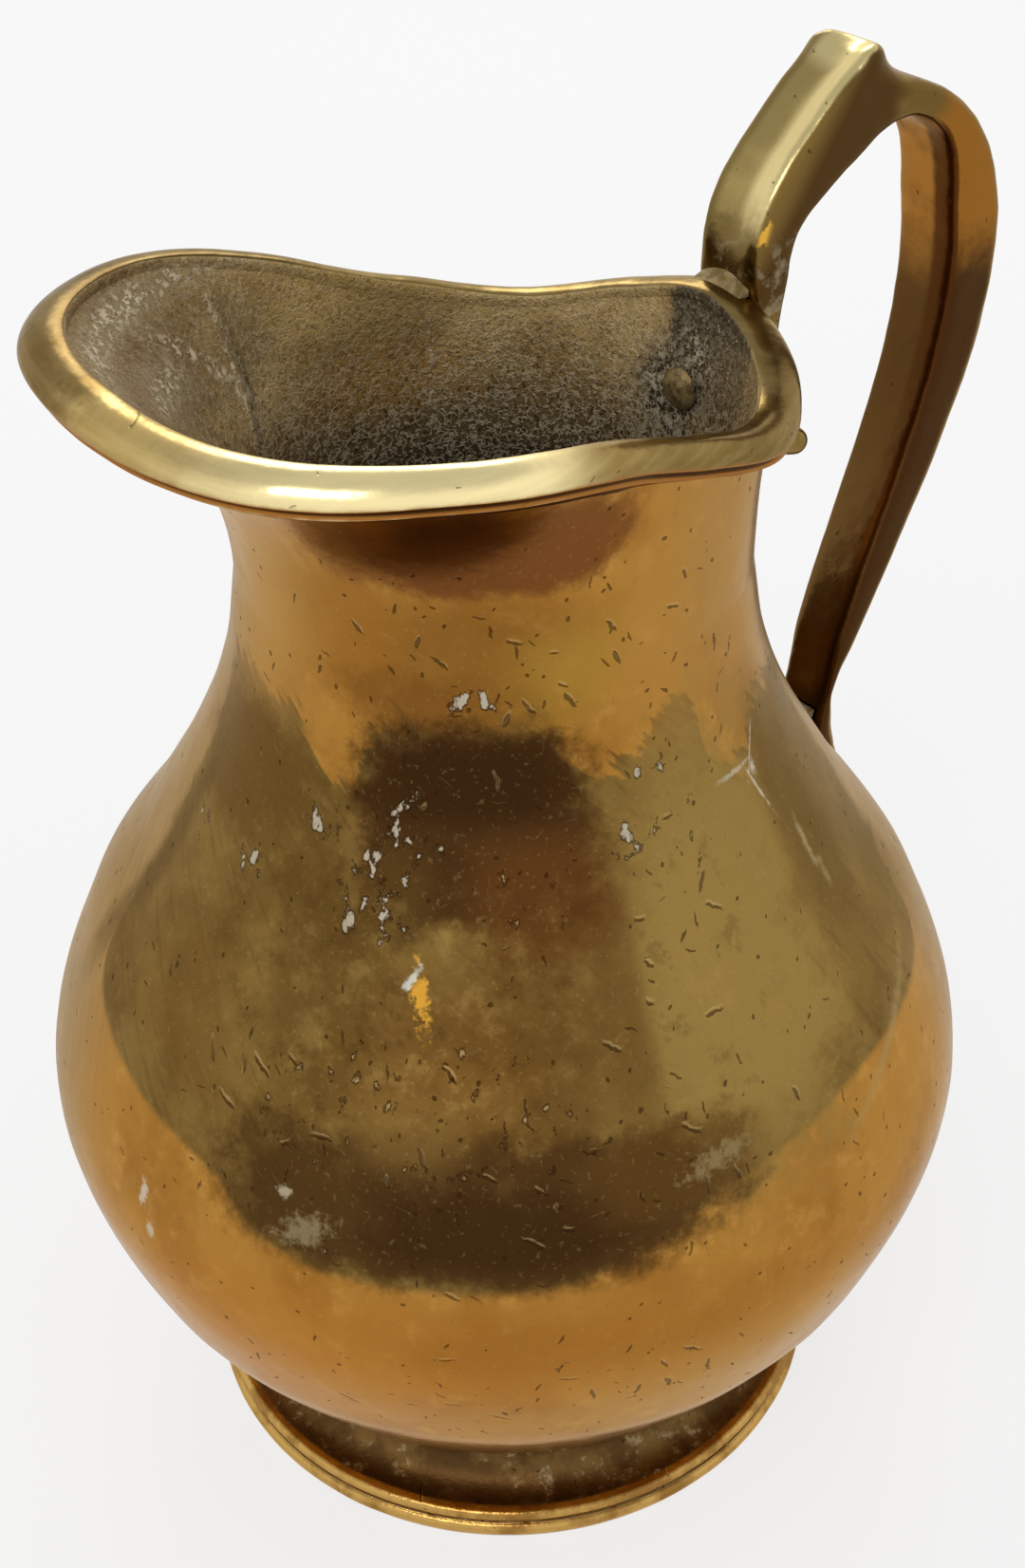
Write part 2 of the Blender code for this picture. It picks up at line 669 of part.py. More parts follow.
body_space = grown_cutter(body)
band_space = grown_cutter(band)
handle_space = grown_cutter(handle)
upper_rivet_space = grown_cutter(upper_rivet)
lower_rivet_space = grown_cutter(lower_rivet)

cut(body, upper_rivet_space, lower_rivet_space)
cut(band, body_space)
cut(handle, body_space, band_space, upper_rivet_space, lower_rivet_space)
cut(root_solder, body_space, band_space, handle_space)
cut(lower_solder, body_space, handle_space)

finish(body, (0.62, 0.42, 0.15), 0.28)
finish(band, (0.66, 0.48, 0.20), 0.25)
finish(foot, (0.38, 0.30, 0.14), 0.40)
finish(braze, (0.45, 0.38, 0.22), 0.50)
finish(disc, (0.40, 0.30, 0.14), 0.45)
finish(handle, (0.55, 0.42, 0.17), 0.30)
finish(upper_rivet, (0.42, 0.33, 0.18), 0.50)
finish(lower_rivet, (0.50, 0.37, 0.16), 0.40)
finish(root_solder, (0.42, 0.40, 0.34), 0.45)
finish(lower_solder, (0.42, 0.40, 0.34), 0.50)
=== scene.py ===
# %% [markdown]
# A small brass jug, dressed for its portrait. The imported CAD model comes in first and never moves:
# it says where every piece is. Each visible piece is then built again with the detail that a hand
# cast, hand raised jug has, and stands for the CAD node of the same place.
# Everything is in metres, +Z is up, the handle is on +X and the pouring lip on -X.

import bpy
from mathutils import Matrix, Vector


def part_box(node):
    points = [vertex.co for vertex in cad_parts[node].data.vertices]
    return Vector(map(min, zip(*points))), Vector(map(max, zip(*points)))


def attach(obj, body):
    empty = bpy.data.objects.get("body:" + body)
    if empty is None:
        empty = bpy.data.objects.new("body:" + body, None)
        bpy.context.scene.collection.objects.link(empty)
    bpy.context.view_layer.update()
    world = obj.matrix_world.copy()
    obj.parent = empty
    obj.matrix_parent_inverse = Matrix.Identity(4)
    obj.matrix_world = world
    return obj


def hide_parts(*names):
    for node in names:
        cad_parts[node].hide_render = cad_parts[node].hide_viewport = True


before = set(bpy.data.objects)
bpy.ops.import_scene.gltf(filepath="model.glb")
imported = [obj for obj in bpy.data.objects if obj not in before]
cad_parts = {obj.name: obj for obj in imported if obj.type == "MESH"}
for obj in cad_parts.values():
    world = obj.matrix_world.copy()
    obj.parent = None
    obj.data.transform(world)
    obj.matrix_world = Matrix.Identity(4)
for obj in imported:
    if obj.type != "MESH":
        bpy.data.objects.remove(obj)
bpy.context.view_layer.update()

# %% Modules and the jug's own axis
from math import atan2, cos, degrees, pi, radians, sin

import bmesh
import bpy
from mathutils import Matrix, Vector

foot_low, foot_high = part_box("foot_ring")
bowl_low, bowl_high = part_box("body_shell")
AXIS_X = (foot_low.x + foot_high.x) / 2
AXIS = Vector((AXIS_X, 0.0, 0.0))
FOOT_RADIUS = (foot_high.y - foot_low.y) / 2
BELLY_RADIUS = (bowl_high.y - bowl_low.y) / 2
print(f"turning axis at x = {AXIS_X * 1000:.1f} mm, belly {BELLY_RADIUS * 2000:.0f} mm across")

# %% [markdown]
# The camera stands where the photographer stood: above the brim, a little to the lip's side, close
# enough for the foot to look much smaller than the mouth. Place and lens were found by laying the
# outlines of brim, bowl, foot and handle over the picture. A single aim point, three angles and a
# distance say the same thing as a matrix, and can be read.

# %% Camera
PHOTO_WIDTH = 1080
PHOTO_HEIGHT = 1652
VIEW_TURN = radians(-36.87)
VIEW_RISE = radians(35.57)
VIEW_ROLL = radians(-1.14)
VIEW_DISTANCE = 0.27175
FOCAL_PIXELS = 2300.0
aim = AXIS + Vector((0.0, -0.0028, 0.0956))

camera = bpy.data.objects.new("camera", bpy.data.cameras.new("camera"))
bpy.context.scene.collection.objects.link(camera)
turn = Matrix.Rotation(VIEW_TURN, 4, "Z") @ Matrix.Rotation(pi / 2 - VIEW_RISE, 4, "X")
camera.matrix_world = (Matrix.Translation(aim) @ turn @ Matrix.Rotation(VIEW_ROLL, 4, "Z")
                       @ Matrix.Translation((0.0, 0.0, VIEW_DISTANCE)))
camera.data.sensor_width = 36.0
camera.data.lens = FOCAL_PIXELS / max(PHOTO_WIDTH, PHOTO_HEIGHT) * camera.data.sensor_width
camera.data.clip_start = 0.01
bpy.context.scene.camera = camera
stand = [round(value, 3) for value in camera.matrix_world.translation]
print(f"camera at {stand}, {camera.data.lens:.1f} mm lens")

# %% [markdown]
# Node trees are drawn in code all through this lesson. Two small classes keep that readable. A
# Node gives an output when it is read by name and feeds an input when it is set. A Link is what
# comes out of a node, and can be reckoned with like a number or a vector: a * 2 + b adds two Math
# nodes.


# %% Helpers for node trees
class Link:
    def __init__(self, tree, socket):
        self.tree = tree
        self.socket = socket

    def __abs__(self):
        return maths("ABSOLUTE", self)


for sign, operation in (("add", "ADD"), ("sub", "SUBTRACT"), ("mul", "MULTIPLY"),
                        ("truediv", "DIVIDE"), ("pow", "POWER")):
    setattr(Link, f"__{sign}__", lambda self, other, kind=operation: maths(kind, self, other))
    setattr(Link, f"__r{sign}__", lambda self, other, kind=operation: maths(kind, other, self))


class Node:
    def __init__(self, tree, node):
        self.tree = tree
        self.node = node

    def __getitem__(self, output):
        return Link(self.tree, self.node.outputs[output])

    def __setitem__(self, key, value):
        if isinstance(value, Link):
            self.tree.links.new(value.socket, self.node.inputs[key])
        else:
            self.node.inputs[key].default_value = value


def add_node(tree, kind, feeds=None, **settings):
    """A new node with its settings. Each feed is a plain value or a Link."""
    made = Node(tree, tree.nodes.new(kind))
    for name, value in settings.items():
        setattr(made.node, name, value)
    for key, value in (feeds or {}).items():
        made[key] = value
    return made


# %% Helpers for reckoning with nodes
def tree_of(*values):
    return next(value.tree for value in values if isinstance(value, Link))


def is_vector(value):
    if isinstance(value, Link):
        return value.socket.type in ("VECTOR", "RGBA")
    return isinstance(value, (tuple, Vector))


def maths(operation, first, second=0.0):
    """A Math node, or a Vector Math node for a vector. A vector times a number is Scale."""
    kind, feeds = "ShaderNodeMath", {0: first, 1: second}
    if is_vector(first):
        kind = "ShaderNodeVectorMath"
        if not is_vector(second):
            operation, feeds = "SCALE", {0: first, "Scale": second}
    return add_node(tree_of(first, second), kind, feeds, operation=operation)[0]


def length_of(vector):
    return add_node(vector.tree, "ShaderNodeVectorMath", {0: vector}, operation="LENGTH")["Value"]


def highest(first, *others):
    for other in others:
        first = maths("MAXIMUM", first, other)
    return first


def parts(vector):
    made = add_node(vector.tree, "ShaderNodeSeparateXYZ", {0: vector})
    return made["X"], made["Y"], made["Z"]


def joined(x, y, z=0.0):
    return add_node(tree_of(x, y, z), "ShaderNodeCombineXYZ", {0: x, 1: y, 2: z})["Vector"]


def ramp(value, low, high, start=0.0, end=1.0):
    """Smooth step from start to end as value goes from low to high."""
    return add_node(value.tree, "ShaderNodeMapRange", {
        "Value": value, "From Min": low, "From Max": high, "To Min": start, "To Max": end},
        interpolation_type="SMOOTHSTEP")["Result"]


# %% Helpers for new trees
SOCKETS = {float: "NodeSocketFloat", int: "NodeSocketInt", tuple: "NodeSocketVector",
           "number": "NodeSocketFloat", "vector": "NodeSocketVector", "mesh": "NodeSocketGeometry",
           "object": "NodeSocketObject", "metal": "NodeSocketMaterial"}


def new_tree(name, inputs, outputs, kind="ShaderNodeTree"):
    """An empty node tree. Each input has a default value or names its sort, as outputs do."""
    tree = bpy.data.node_groups.new(name, kind)
    for label, value in inputs.items():
        named = isinstance(value, str)
        sort = SOCKETS[value if named else type(value)]
        socket = tree.interface.new_socket(label, in_out="INPUT", socket_type=sort)
        if not named:
            socket.default_value = value
    for label, sort in outputs.items():
        tree.interface.new_socket(label, in_out="OUTPUT", socket_type=SOCKETS[sort])
    return tree, add_node(tree, "NodeGroupInput"), add_node(tree, "NodeGroupOutput")


def new_geometry_tree(name, inputs):
    return new_tree(name, inputs, {"Mesh": "mesh"}, "GeometryNodeTree")


# %% Helpers for pieces
def new_piece(name, mesh=None):
    made = bpy.data.objects.new(name, mesh or bpy.data.meshes.new(name))
    bpy.context.scene.collection.objects.link(made)
    return made


def add_tree(piece, tree, values):
    """Put a Geometry Nodes tree on a piece and set its inputs by their names."""
    modifier = piece.modifiers.new(tree.name, "NODES")
    modifier.node_group = tree
    for item in tree.interface.items_tree:
        if item.in_out == "INPUT" and item.name in values:
            modifier[item.identifier] = values[item.name]


def make_plain(piece):
    """Turn a piece and its modifiers into a plain mesh."""
    graph = bpy.context.evaluated_depsgraph_get()
    piece.data = bpy.data.meshes.new_from_object(piece.evaluated_get(graph), depsgraph=graph)
    piece.modifiers.clear()
    piece.data.name = piece.name
    piece.data.shade_smooth()
    piece.data.set_sharp_from_angle(angle=radians(50.0))


def hand_in(piece, node):
    """A finished piece rides on the jug's one body and stands for its CAD node."""
    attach(piece, "root")
    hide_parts(node)
    faces = sum(len(face.vertices) - 2 for face in piece.data.polygons)
    print(f"{piece.name}: {faces} triangles, stands for {node}")


# %% [markdown]
# Colours are noted the way a painter matches them, as they are seen on the screen from 0 to 255.
# A shader mixes light and wants linear values, so one helper does the conversion, at the moment
# when a colour is laid on.


# %% Colours as they are seen
def tone(red, green, blue):
    linear = []
    for value in (red / 255, green / 255, blue / 255):
        linear.append(value / 12.92 if value < 0.04045 else ((value + 0.055) / 1.055) ** 2.4)
    return tuple(linear)


print("polished gold as a shader wants it:", [round(value, 3) for value in tone(166, 116, 48)])

# %% [markdown]
# The jug's lines repeat the CAD's stations, because the two have to agree. A smooth line through a
# few stations is how a pattern maker draws a profile: the stations are measured, and a bent spline
# gives the rest. The same cubic gives the brim's height and reach at every angle.


# %% Smooth lines through stations
def hermite(start, end, start_slope, end_slope, t):
    a = 2 * t ** 3 - 3 * t ** 2 + 1
    b = t ** 3 - 2 * t ** 2 + t
    c = 3 * t ** 2 - 2 * t ** 3
    d = t ** 3 - t ** 2
    return a * start + b * start_slope + c * end + d * end_slope


def smooth_value(stations, at):
    """Smooth curve through (position, value) stations, level at both ends."""
    places = [place for place, _ in stations]
    values = [value for _, value in stations]
    last = len(stations) - 1
    slopes = [0.0] * (last + 1)
    for i in range(1, last):
        slopes[i] = (values[i + 1] - values[i - 1]) / (places[i + 1] - places[i - 1])
    i = 0
    while i < last - 1 and at > places[i + 1]:
        i += 1
    span = places[i + 1] - places[i]
    return hermite(values[i], values[i + 1], slopes[i] * span, slopes[i + 1] * span,
                   (at - places[i]) / span)


def smooth_line(points, steps):
    """Smooth line through 2D points, with steps pieces between neighbours."""
    points = [Vector(point) for point in points]
    last = len(points) - 1
    slopes = [(points[min(i + 1, last)] - points[max(i - 1, 0)]).normalized()
              for i in range(last + 1)]
    line = []
    for i in range(last):
        reach = (points[i + 1] - points[i]).length
        line += [hermite(points[i], points[i + 1], slopes[i] * reach, slopes[i + 1] * reach,
                         step / steps) for step in range(steps)]
    return line + [points[last]]


def spread(values, steps):
    """One value for each point that smooth_line gives, going evenly between the stations."""
    line = []
    for first, second in zip(values, values[1:]):
        line += [first + (second - first) * step / steps for step in range(steps)]
    return line + [values[-1]]


def offset_line(line, distance):
    """Move an open 2D line sideways, to its left for a positive distance."""
    moved = []
    for i, point in enumerate(line):
        along = (line[min(i + 1, len(line) - 1)] - line[max(i - 1, 0)]).normalized()
        moved.append(point + Vector((-along.y, along.x)) * distance)
    return moved


# %% The bowl's profile and the brim's line
WALL = 0.0020
SEAT_HEIGHT = 0.0070
PLUG_HOLE_RADIUS = 0.0240
NECK_HEIGHT = 0.1280
BRIM_HEIGHT = 0.1500
WALL_DROP = 0.0008       # the wall stops this far below the brim, under the band
FLARE = 2.5              # power of the outward sweep from neck to brim
BOWL_STATIONS = (
    # outside radius, height
    (0.0290, SEAT_HEIGHT),
    (0.0398, 0.0140),
    (0.0489, 0.0260),
    (0.0555, 0.0370),
    (BELLY_RADIUS, 0.0570),
    (0.0536, 0.0780),
    (0.0442, 0.0920),
    (0.0363, 0.1060),
    (0.0322, 0.1170),
    (0.0303, NECK_HEIGHT),
)
MOUTH_STATIONS = (
    # degrees from the handle, inside radius, height over the brim
    (0.0, 0.0311, 0.0009),
    (20.0, 0.0309, -0.0014),
    (45.0, 0.0294, -0.0037),
    (75.0, 0.0270, 0.0001),
    (95.0, 0.0281, 0.0034),
    (110.0, 0.0322, 0.0063),
    (130.0, 0.0402, 0.0096),
    (152.0, 0.0450, 0.0103),
    (180.0, 0.0442, 0.0098),
)
outer_line = [Vector((PLUG_HOLE_RADIUS, SEAT_HEIGHT))] + smooth_line(BOWL_STATIONS, 14)
inner_line = offset_line(outer_line, WALL)
NECK_INSIDE = inner_line[-1].x


def mouth_point(angle):
    """Inner edge of the brim at an angle from the handle, in radians, about the jug's axis."""
    side = degrees(abs(atan2(sin(angle), cos(angle))))
    radius = smooth_value([(a, r) for a, r, _ in MOUTH_STATIONS], side)
    rise = smooth_value([(a, h) for a, _, h in MOUTH_STATIONS], side)
    return AXIS + Vector((radius * cos(angle), radius * sin(angle), BRIM_HEIGHT + rise))


print(f"bowl line of {len(outer_line)} points, neck {NECK_INSIDE * 2000:.1f} mm wide inside")

# %% [markdown]
# Bowl, rim band and foot are all one idea: a section drawn once and carried round a line. A founder
# strickles the mould with a board cut to that section, and Curve to Mesh does the same. The part
# that is shared is a small tree of its own, and two trees use it: one carries the section round the
# turning axis, the other round the mouth. Curve to Mesh lays a section's second direction downwards
# on such a line, so every section is drawn with its heights turned over. What is noted on the
# section's points and on the line's points comes along: the band is wide and flat by the handle and
# narrow and steeper on the near side, and its inner face is marked as part of the rough bore.


# %% A section carried round a line
SIDES = 288


def section_along_line():
    tree, given, result = new_geometry_tree("section_along_line", {
        "Line": "mesh", "Section": "object"})
    section = add_node(tree, "GeometryNodeObjectInfo", {"Object": given["Section"]})
    outline = add_node(tree, "GeometryNodeMeshToCurve", {"Mesh": section["Geometry"]})
    upright = add_node(tree, "GeometryNodeSetCurveNormal", {"Curve": given["Line"]}, mode="Z_UP")
    skin = add_node(tree, "GeometryNodeCurveToMesh", {"Curve": upright["Curve"],
        "Profile Curve": outline["Curve"]})
    closed = add_node(tree, "GeometryNodeMergeByDistance",
        {"Geometry": skin["Mesh"], "Distance": 0.000002})
    result["Mesh"] = closed["Geometry"]
    return tree


def finish_tree(tree, result, mesh, metal, chosen=None):
    """The last two steps of every tree: real geometry, with the metal of its chosen faces set."""
    real = add_node(tree, "GeometryNodeRealizeInstances", {"Geometry": mesh})
    coat = add_node(tree, "GeometryNodeSetMaterial", {"Geometry": real["Geometry"],
        "Material": metal})
    if chosen is not None:
        coat["Selection"] = chosen
    result["Mesh"] = coat["Geometry"]


def placed_section(tree, shared, line, section):
    return add_node(tree, "GeometryNodeGroup", {"Line": line, "Section": section}, node_tree=shared)


def turned_casting(shared):
    """A section turned round the jug's axis. Its radii are measured from the guide ring."""
    tree, given, result = new_geometry_tree("turned_casting", {
        "Section": "object", "Sides": SIDES, "Guide Radius": 0.01, "Axis": tuple(AXIS),
        "Metal": "metal"})
    ring = add_node(tree, "GeometryNodeCurvePrimitiveCircle", {"Resolution": given["Sides"]})
    ring[4] = given["Guide Radius"]
    placed = add_node(tree, "GeometryNodeTransform", {"Geometry": ring["Curve"],
        "Translation": given["Axis"]})
    swept = placed_section(tree, shared, placed["Geometry"], given["Section"])
    finish_tree(tree, result, swept["Mesh"], given["Metal"])
    return tree


def noted(tree, name, kind):
    """What a line's or a section's points carry under a name."""
    return add_node(tree, "GeometryNodeInputNamedAttribute", {"Name": name},
        data_type=kind)["Attribute"]


def mouth_moulding(shared):
    """A section carried round the mouth's line, wider or steeper where the line says so."""
    tree, given, result = new_geometry_tree("mouth_moulding", {
        "Section": "object", "Mouth": "object", "Metal": "metal", "Inner Metal": "metal"})
    mouth = add_node(tree, "GeometryNodeObjectInfo", {"Object": given["Mouth"]})
    line = add_node(tree, "GeometryNodeMeshToCurve", {"Mesh": mouth["Geometry"]})
    swept = placed_section(tree, shared, line["Curve"], given["Section"])
    place = add_node(tree, "GeometryNodeInputPosition")["Position"]
    edge = noted(tree, "edge_place", "FLOAT_VECTOR")
    level = (place - edge) * (1.0, 1.0, 0.0)
    wider = level * (noted(tree, "band_share", "FLOAT") - 1.0)
    lower = joined(0.0, 0.0, length_of(level) * noted(tree, "band_fall", "FLOAT") * -1.0)
    shaped = add_node(tree, "GeometryNodeSetPosition",
        {"Geometry": swept["Mesh"], "Offset": wider + lower})
    coated = add_node(tree, "GeometryNodeSetMaterial",
        {"Geometry": shaped["Geometry"], "Material": given["Metal"]})
    inner = add_node(tree, "FunctionNodeCompare", {"A": noted(tree, "core", "FLOAT"), "B": 0.75},
                     data_type="FLOAT", operation="GREATER_THAN")
    finish_tree(tree, result, coated["Geometry"], given["Inner Metal"], inner["Result"])
    return tree


SWEEP = section_along_line()
TURNED = turned_casting(SWEEP)
MOULDING = mouth_moulding(SWEEP)
print("trees:", TURNED.name, "and", MOULDING.name)

# %% [markdown]
# The mouth was drawn out of the round neck after casting. The rule is simple: the higher a point of
# the neck, the more of the way it goes to the brim's line at its own angle. Sample Index reads that
# line, one point for each side of the bowl, so the tree needs no table of its own.


# %% The mouth drawn out of the neck
def drawn_mouth():
    tree, given, result = new_geometry_tree("drawn_mouth", {
        "Mesh": "mesh", "Mouth": "object", "Axis": tuple(AXIS), "Sides": SIDES,
        "Neck Height": NECK_HEIGHT, "Brim Height": BRIM_HEIGHT, "Flare": FLARE,
        "Wall Drop": WALL_DROP, "Metal": "metal"})
    place = add_node(tree, "GeometryNodeInputPosition")["Position"]
    x, y, z = parts(place - given["Axis"])
    angle = maths("ARCTAN2", y, x)
    count = angle / (2 * pi) * given["Sides"]
    index = maths("FLOORED_MODULO", maths("ROUND", count), given["Sides"])
    mouth = add_node(tree, "GeometryNodeObjectInfo", {"Object": given["Mouth"]})
    at_brim = add_node(tree, "GeometryNodeSampleIndex",
        {"Geometry": mouth["Geometry"], "Value": place, "Index": index}, data_type="FLOAT_VECTOR",
        domain="POINT")
    room = given["Brim Height"] - given["Neck Height"]
    climb = (z - given["Neck Height"]) / room
    share = add_node(tree, "ShaderNodeClamp", {"Value": climb})["Result"]
    level = add_node(tree, "ShaderNodeMix", {"Factor": share ** given["Flare"], 4: place,
        5: at_brim["Value"]}, data_type="VECTOR")[1]
    span = parts(at_brim["Value"])[2] - given["Wall Drop"] - given["Neck Height"]
    drawn = joined(*parts(level)[:2], share * span + given["Neck Height"])
    over = add_node(tree, "FunctionNodeCompare", {"A": share, "B": 0.0},
                    data_type="FLOAT", operation="GREATER_THAN")
    moved = add_node(tree, "GeometryNodeSetPosition",
        {"Geometry": given["Mesh"], "Selection": over["Result"], "Position": drawn})
    finish_tree(tree, result, moved["Geometry"], given["Metal"])
    return tree


DRAWN_MOUTH = drawn_mouth()
BAND_SHAPE = (
    # degrees from the handle, less than zero on the near side; share of the width; fall
    (-180.0, 1.04, 0.10),
    (-140.0, 0.81, 0.14),
    (-90.0, 0.73, 0.14),
    (-45.0, 0.94, 0.10),
    (0.0, 1.12, 0.0),
    (40.0, 0.94, 0.03),
    (90.0, 0.82, 0.05),
    (120.0, 0.88, 0.05),
    (145.0, 0.98, 0.06),
    (165.0, 1.04, 0.08),
    (180.0, 1.04, 0.10),
)


def note(mesh, name, values, kind="FLOAT"):
    """Write a value on each point of a mesh, under a name that trees and shaders can read."""
    layer = mesh.attributes.new(name, kind, "POINT")
    layer.data.foreach_set("vector" if kind == "FLOAT_VECTOR" else "value", values)


mouth_line = new_piece("mouth_line")
brim_places = [mouth_point(2 * pi * i / SIDES) for i in range(SIDES)]
brim_sides = [degrees(atan2(sin(2 * pi * i / SIDES), cos(2 * pi * i / SIDES)))
              for i in range(SIDES)]
mouth_line.data.from_pydata(brim_places, [(i, (i + 1) % SIDES) for i in range(SIDES)], [])
note(mouth_line.data, "edge_place", [value for place in brim_places for value in place],
     "FLOAT_VECTOR")
note(mouth_line.data, "band_share",
     [smooth_value([(at, share) for at, share, _ in BAND_SHAPE], side) for side in brim_sides])
note(mouth_line.data, "band_fall",
     [smooth_value([(at, fall) for at, _, fall in BAND_SHAPE], side) for side in brim_sides])
print("mouth line of", len(mouth_line.data.vertices), "points")

# %% [markdown]
# No surface of this jug is true. It was scraped and filed by hand after casting, and a hundred
# years of knocks did the rest, so reflections waver on it. One tree gives every piece that: slow
# swells and finer ripples along the normals, from noise with a fixed seed, less what was filed off.
# It is real geometry and not a bump, because the outline and the edges of the reflections have to
# show it too.


# %% A hand-worked surface
def hand_worked():
    tree, given, result = new_geometry_tree("hand_worked", {
        "Mesh": "mesh", "Swell": 0.0001, "Swell Length": 0.02, "Ripple": 0.00003,
        "Ripple Length": 0.004, "Seed": 1.0, "Filed Off": 0.0001, "First Slot": 0,
        "Metal": "metal"})
    place = add_node(tree, "GeometryNodeInputPosition")["Position"]
    normal = add_node(tree, "GeometryNodeInputNormal")["Normal"]
    lift = given["Filed Off"] * -1.0
    for size, length in (("Swell", "Swell Length"), ("Ripple", "Ripple Length")):
        waves = add_node(tree, "ShaderNodeTexNoise", {"Vector": place, "W": given["Seed"],
            "Detail": 1.0, "Scale": 1.0 / given[length]}, noise_dimensions="4D")
        lift = (waves["Fac"] - 0.5) * 4.0 * given[size] + lift
    moved = add_node(tree, "GeometryNodeSetPosition",
        {"Geometry": given["Mesh"], "Offset": normal * lift})
    slot = add_node(tree, "GeometryNodeInputMaterialIndex")["Material Index"]
    chosen = add_node(tree, "FunctionNodeCompare", {"A": slot, "B": given["First Slot"]},
                      data_type="INT", operation="GREATER_EQUAL")
    finish_tree(tree, result, moved["Geometry"], given["Metal"], chosen["Result"])
    return tree


HAND_WORKED = hand_worked()
print("tree:", HAND_WORKED.name)

# %% [markdown]
# The patina, and the light and shade painted with it, is placed as a restorer would note it: so many
# degrees round the bowl from the middle of the front, so many millimetres up. The first group turns
# a point into those two numbers. It also lays the skin out flat in millimetres, for scratches, with
# its seam at the back.


# %% Shader group: where on the bowl
FRONT_ANGLE = 126.0      # the middle of the photographed side is this far clockwise from the handle


def place_on_bowl():
    tree, given, result = new_tree("place_on_bowl", {"Point": "vector"}, {
        "Turn": "number", "Height": "number", "Skin": "vector"})
    turned = add_node(tree, "ShaderNodeVectorRotate", {
        "Vector": given["Point"], "Center": AXIS, "Angle": radians(FRONT_ANGLE)},
        rotation_type="Z_AXIS")
    x, y, z = parts(turned["Vector"] - AXIS)
    angle = maths("ARCTAN2", y, x)
    height = z * 1000.0
    across = length_of((given["Point"] - AXIS) * (1000.0, 1000.0, 0.0)) * angle
    result["Turn"] = maths("DEGREES", angle)
    result["Height"] = height
    result["Skin"] = joined(across, height)
    return tree


# %% [markdown]
# A patch of tarnish, or of painted shade, reflection or highlight, is an oval with a torn edge,
# upright or leaning. The group measures how far a place is from the patch's middle, in parts of its
# width and height, lets noise tear the edge, and puts out a mask. Every stain on the bowl, and every
# painted patch of light or shade, is one use of this group with its own numbers, and a very narrow
# patch is a scratch.


# %% Shader group: a patch of tarnish or of painted light and shade
def tarnish_patch():
    tree, given, result = new_tree("tarnish_patch", {
        "Turn": 0.0, "Height": 0.0, "Noise": 0.5, "At Turn": 0.0, "At Height": 100.0,
        "Half Turn": 10.0, "Half Height": 10.0, "Lean": 0.0, "Softness": 0.3,
        "Raggedness": 1.0, "Corners": 2.6}, {"Mask": "number"})
    rise = given["Height"] - given["At Height"]
    across = (given["Turn"] - given["At Turn"] - rise * given["Lean"]) / given["Half Turn"]
    up = rise / given["Half Height"]
    square = abs(across) ** given["Corners"] + abs(up) ** given["Corners"]
    torn = (given["Noise"] - 0.5) * given["Raggedness"]
    reach = square ** (1.0 / given["Corners"]) + torn
    result["Mask"] = ramp(reach, 1.0 - given["Softness"], 1.0 + given["Softness"], 1.0, 0.0)
    return tree


# %% [markdown]
# Cast brass is full of small holes and short nicks where gas or sand was caught in the skin, and
# use has scratched it. Both are Voronoi cells on the flat skin, at most one mark in each: the
# cell's own random colour decides whether it has a mark, how long it is and which way it points.
# The second mask is the same mark moved a hair upwards: a painted glint on the burr beside it.


# %% Shader group: pits, nicks, scratches and painted glints
def marks_on_skin():
    tree, given, result = new_tree("marks_on_skin", {
        "Skin": "vector", "Spacing": 3.0, "Share": 0.3, "Length": 1.0, "Width": 0.2,
        "Lean": 0.0, "Scatter": 3.0}, {"Mask": "number", "Burr": "number"})
    wander = add_node(tree, "ShaderNodeTexNoise", {
        "Vector": given["Skin"], "Scale": 0.9, "Detail": 1.0})
    place = given["Skin"] + (wander["Color"] - (0.5, 0.5, 0.5)) * 0.7
    cells = add_node(tree, "ShaderNodeTexVoronoi", {"Vector": place,
        "Scale": 1.0 / given["Spacing"]}, voronoi_dimensions="2D")
    pick = add_node(tree, "ShaderNodeSeparateColor", {0: cells["Color"]})
    chosen = maths("LESS_THAN", pick["Blue"], given["Share"])
    lean = (pick["Red"] - 0.5) * given["Scatter"] + given["Lean"]
    length = (pick["Green"] + 0.35) * given["Length"]
    width = (pick["Red"] + 0.5) * given["Width"]
    offset = place - cells["Position"]
    for label, lift in (("Mask", 0.0), ("Burr", -1.5)):
        moved = offset + joined(0.0, given["Width"] * lift)
        turned = add_node(tree, "ShaderNodeVectorRotate", {"Vector": moved, "Angle": lean},
            rotation_type="Z_AXIS")
        x, y, _ = parts(turned["Vector"])
        out = abs(x / length) ** 2.0 + abs(y / width) ** 2.0
        result[label] = ramp(out, 0.35, 1.0, 1.0, 0.0) * chosen
    return tree


# %% [markdown]
# Every material is the same few moves: start from a ground colour, lay other colours over it
# through masks, and let the same masks drive roughness and height. The helpers say that in few
# words: noise and ramp make masks, lay_over lays a colour through one, patch and marks place a
# shader group with its numbers, and bump raises the skin.


# %% Helpers for metals
PLACE_ON_BOWL = place_on_bowl()
TARNISH_AND_LIGHT_PATCH = tarnish_patch()
MARKS_ON_SKIN = marks_on_skin()
SPECULAR_TINT = (0.92, 0.82, 0.67, 1.0)


def new_metal(name, roughness, metallic=1.0):
    """A metal with its Principled BSDF and a point in Object coordinates."""
    metal = bpy.data.materials.new(name)
    metal.use_nodes = True
    tree = metal.node_tree
    shader = Node(tree, tree.nodes["Principled BSDF"])
    shader["Metallic"] = metallic
    shader["Roughness"] = roughness
    shader["Specular Tint"] = SPECULAR_TINT
    return metal, shader, add_node(tree, "ShaderNodeTexCoord")["Object"]


def placed_group(group, feeds):
    """A shader group, placed in a material with its own values."""
    return add_node(tree_of(*feeds.values()), "ShaderNodeGroup", feeds, node_tree=group)


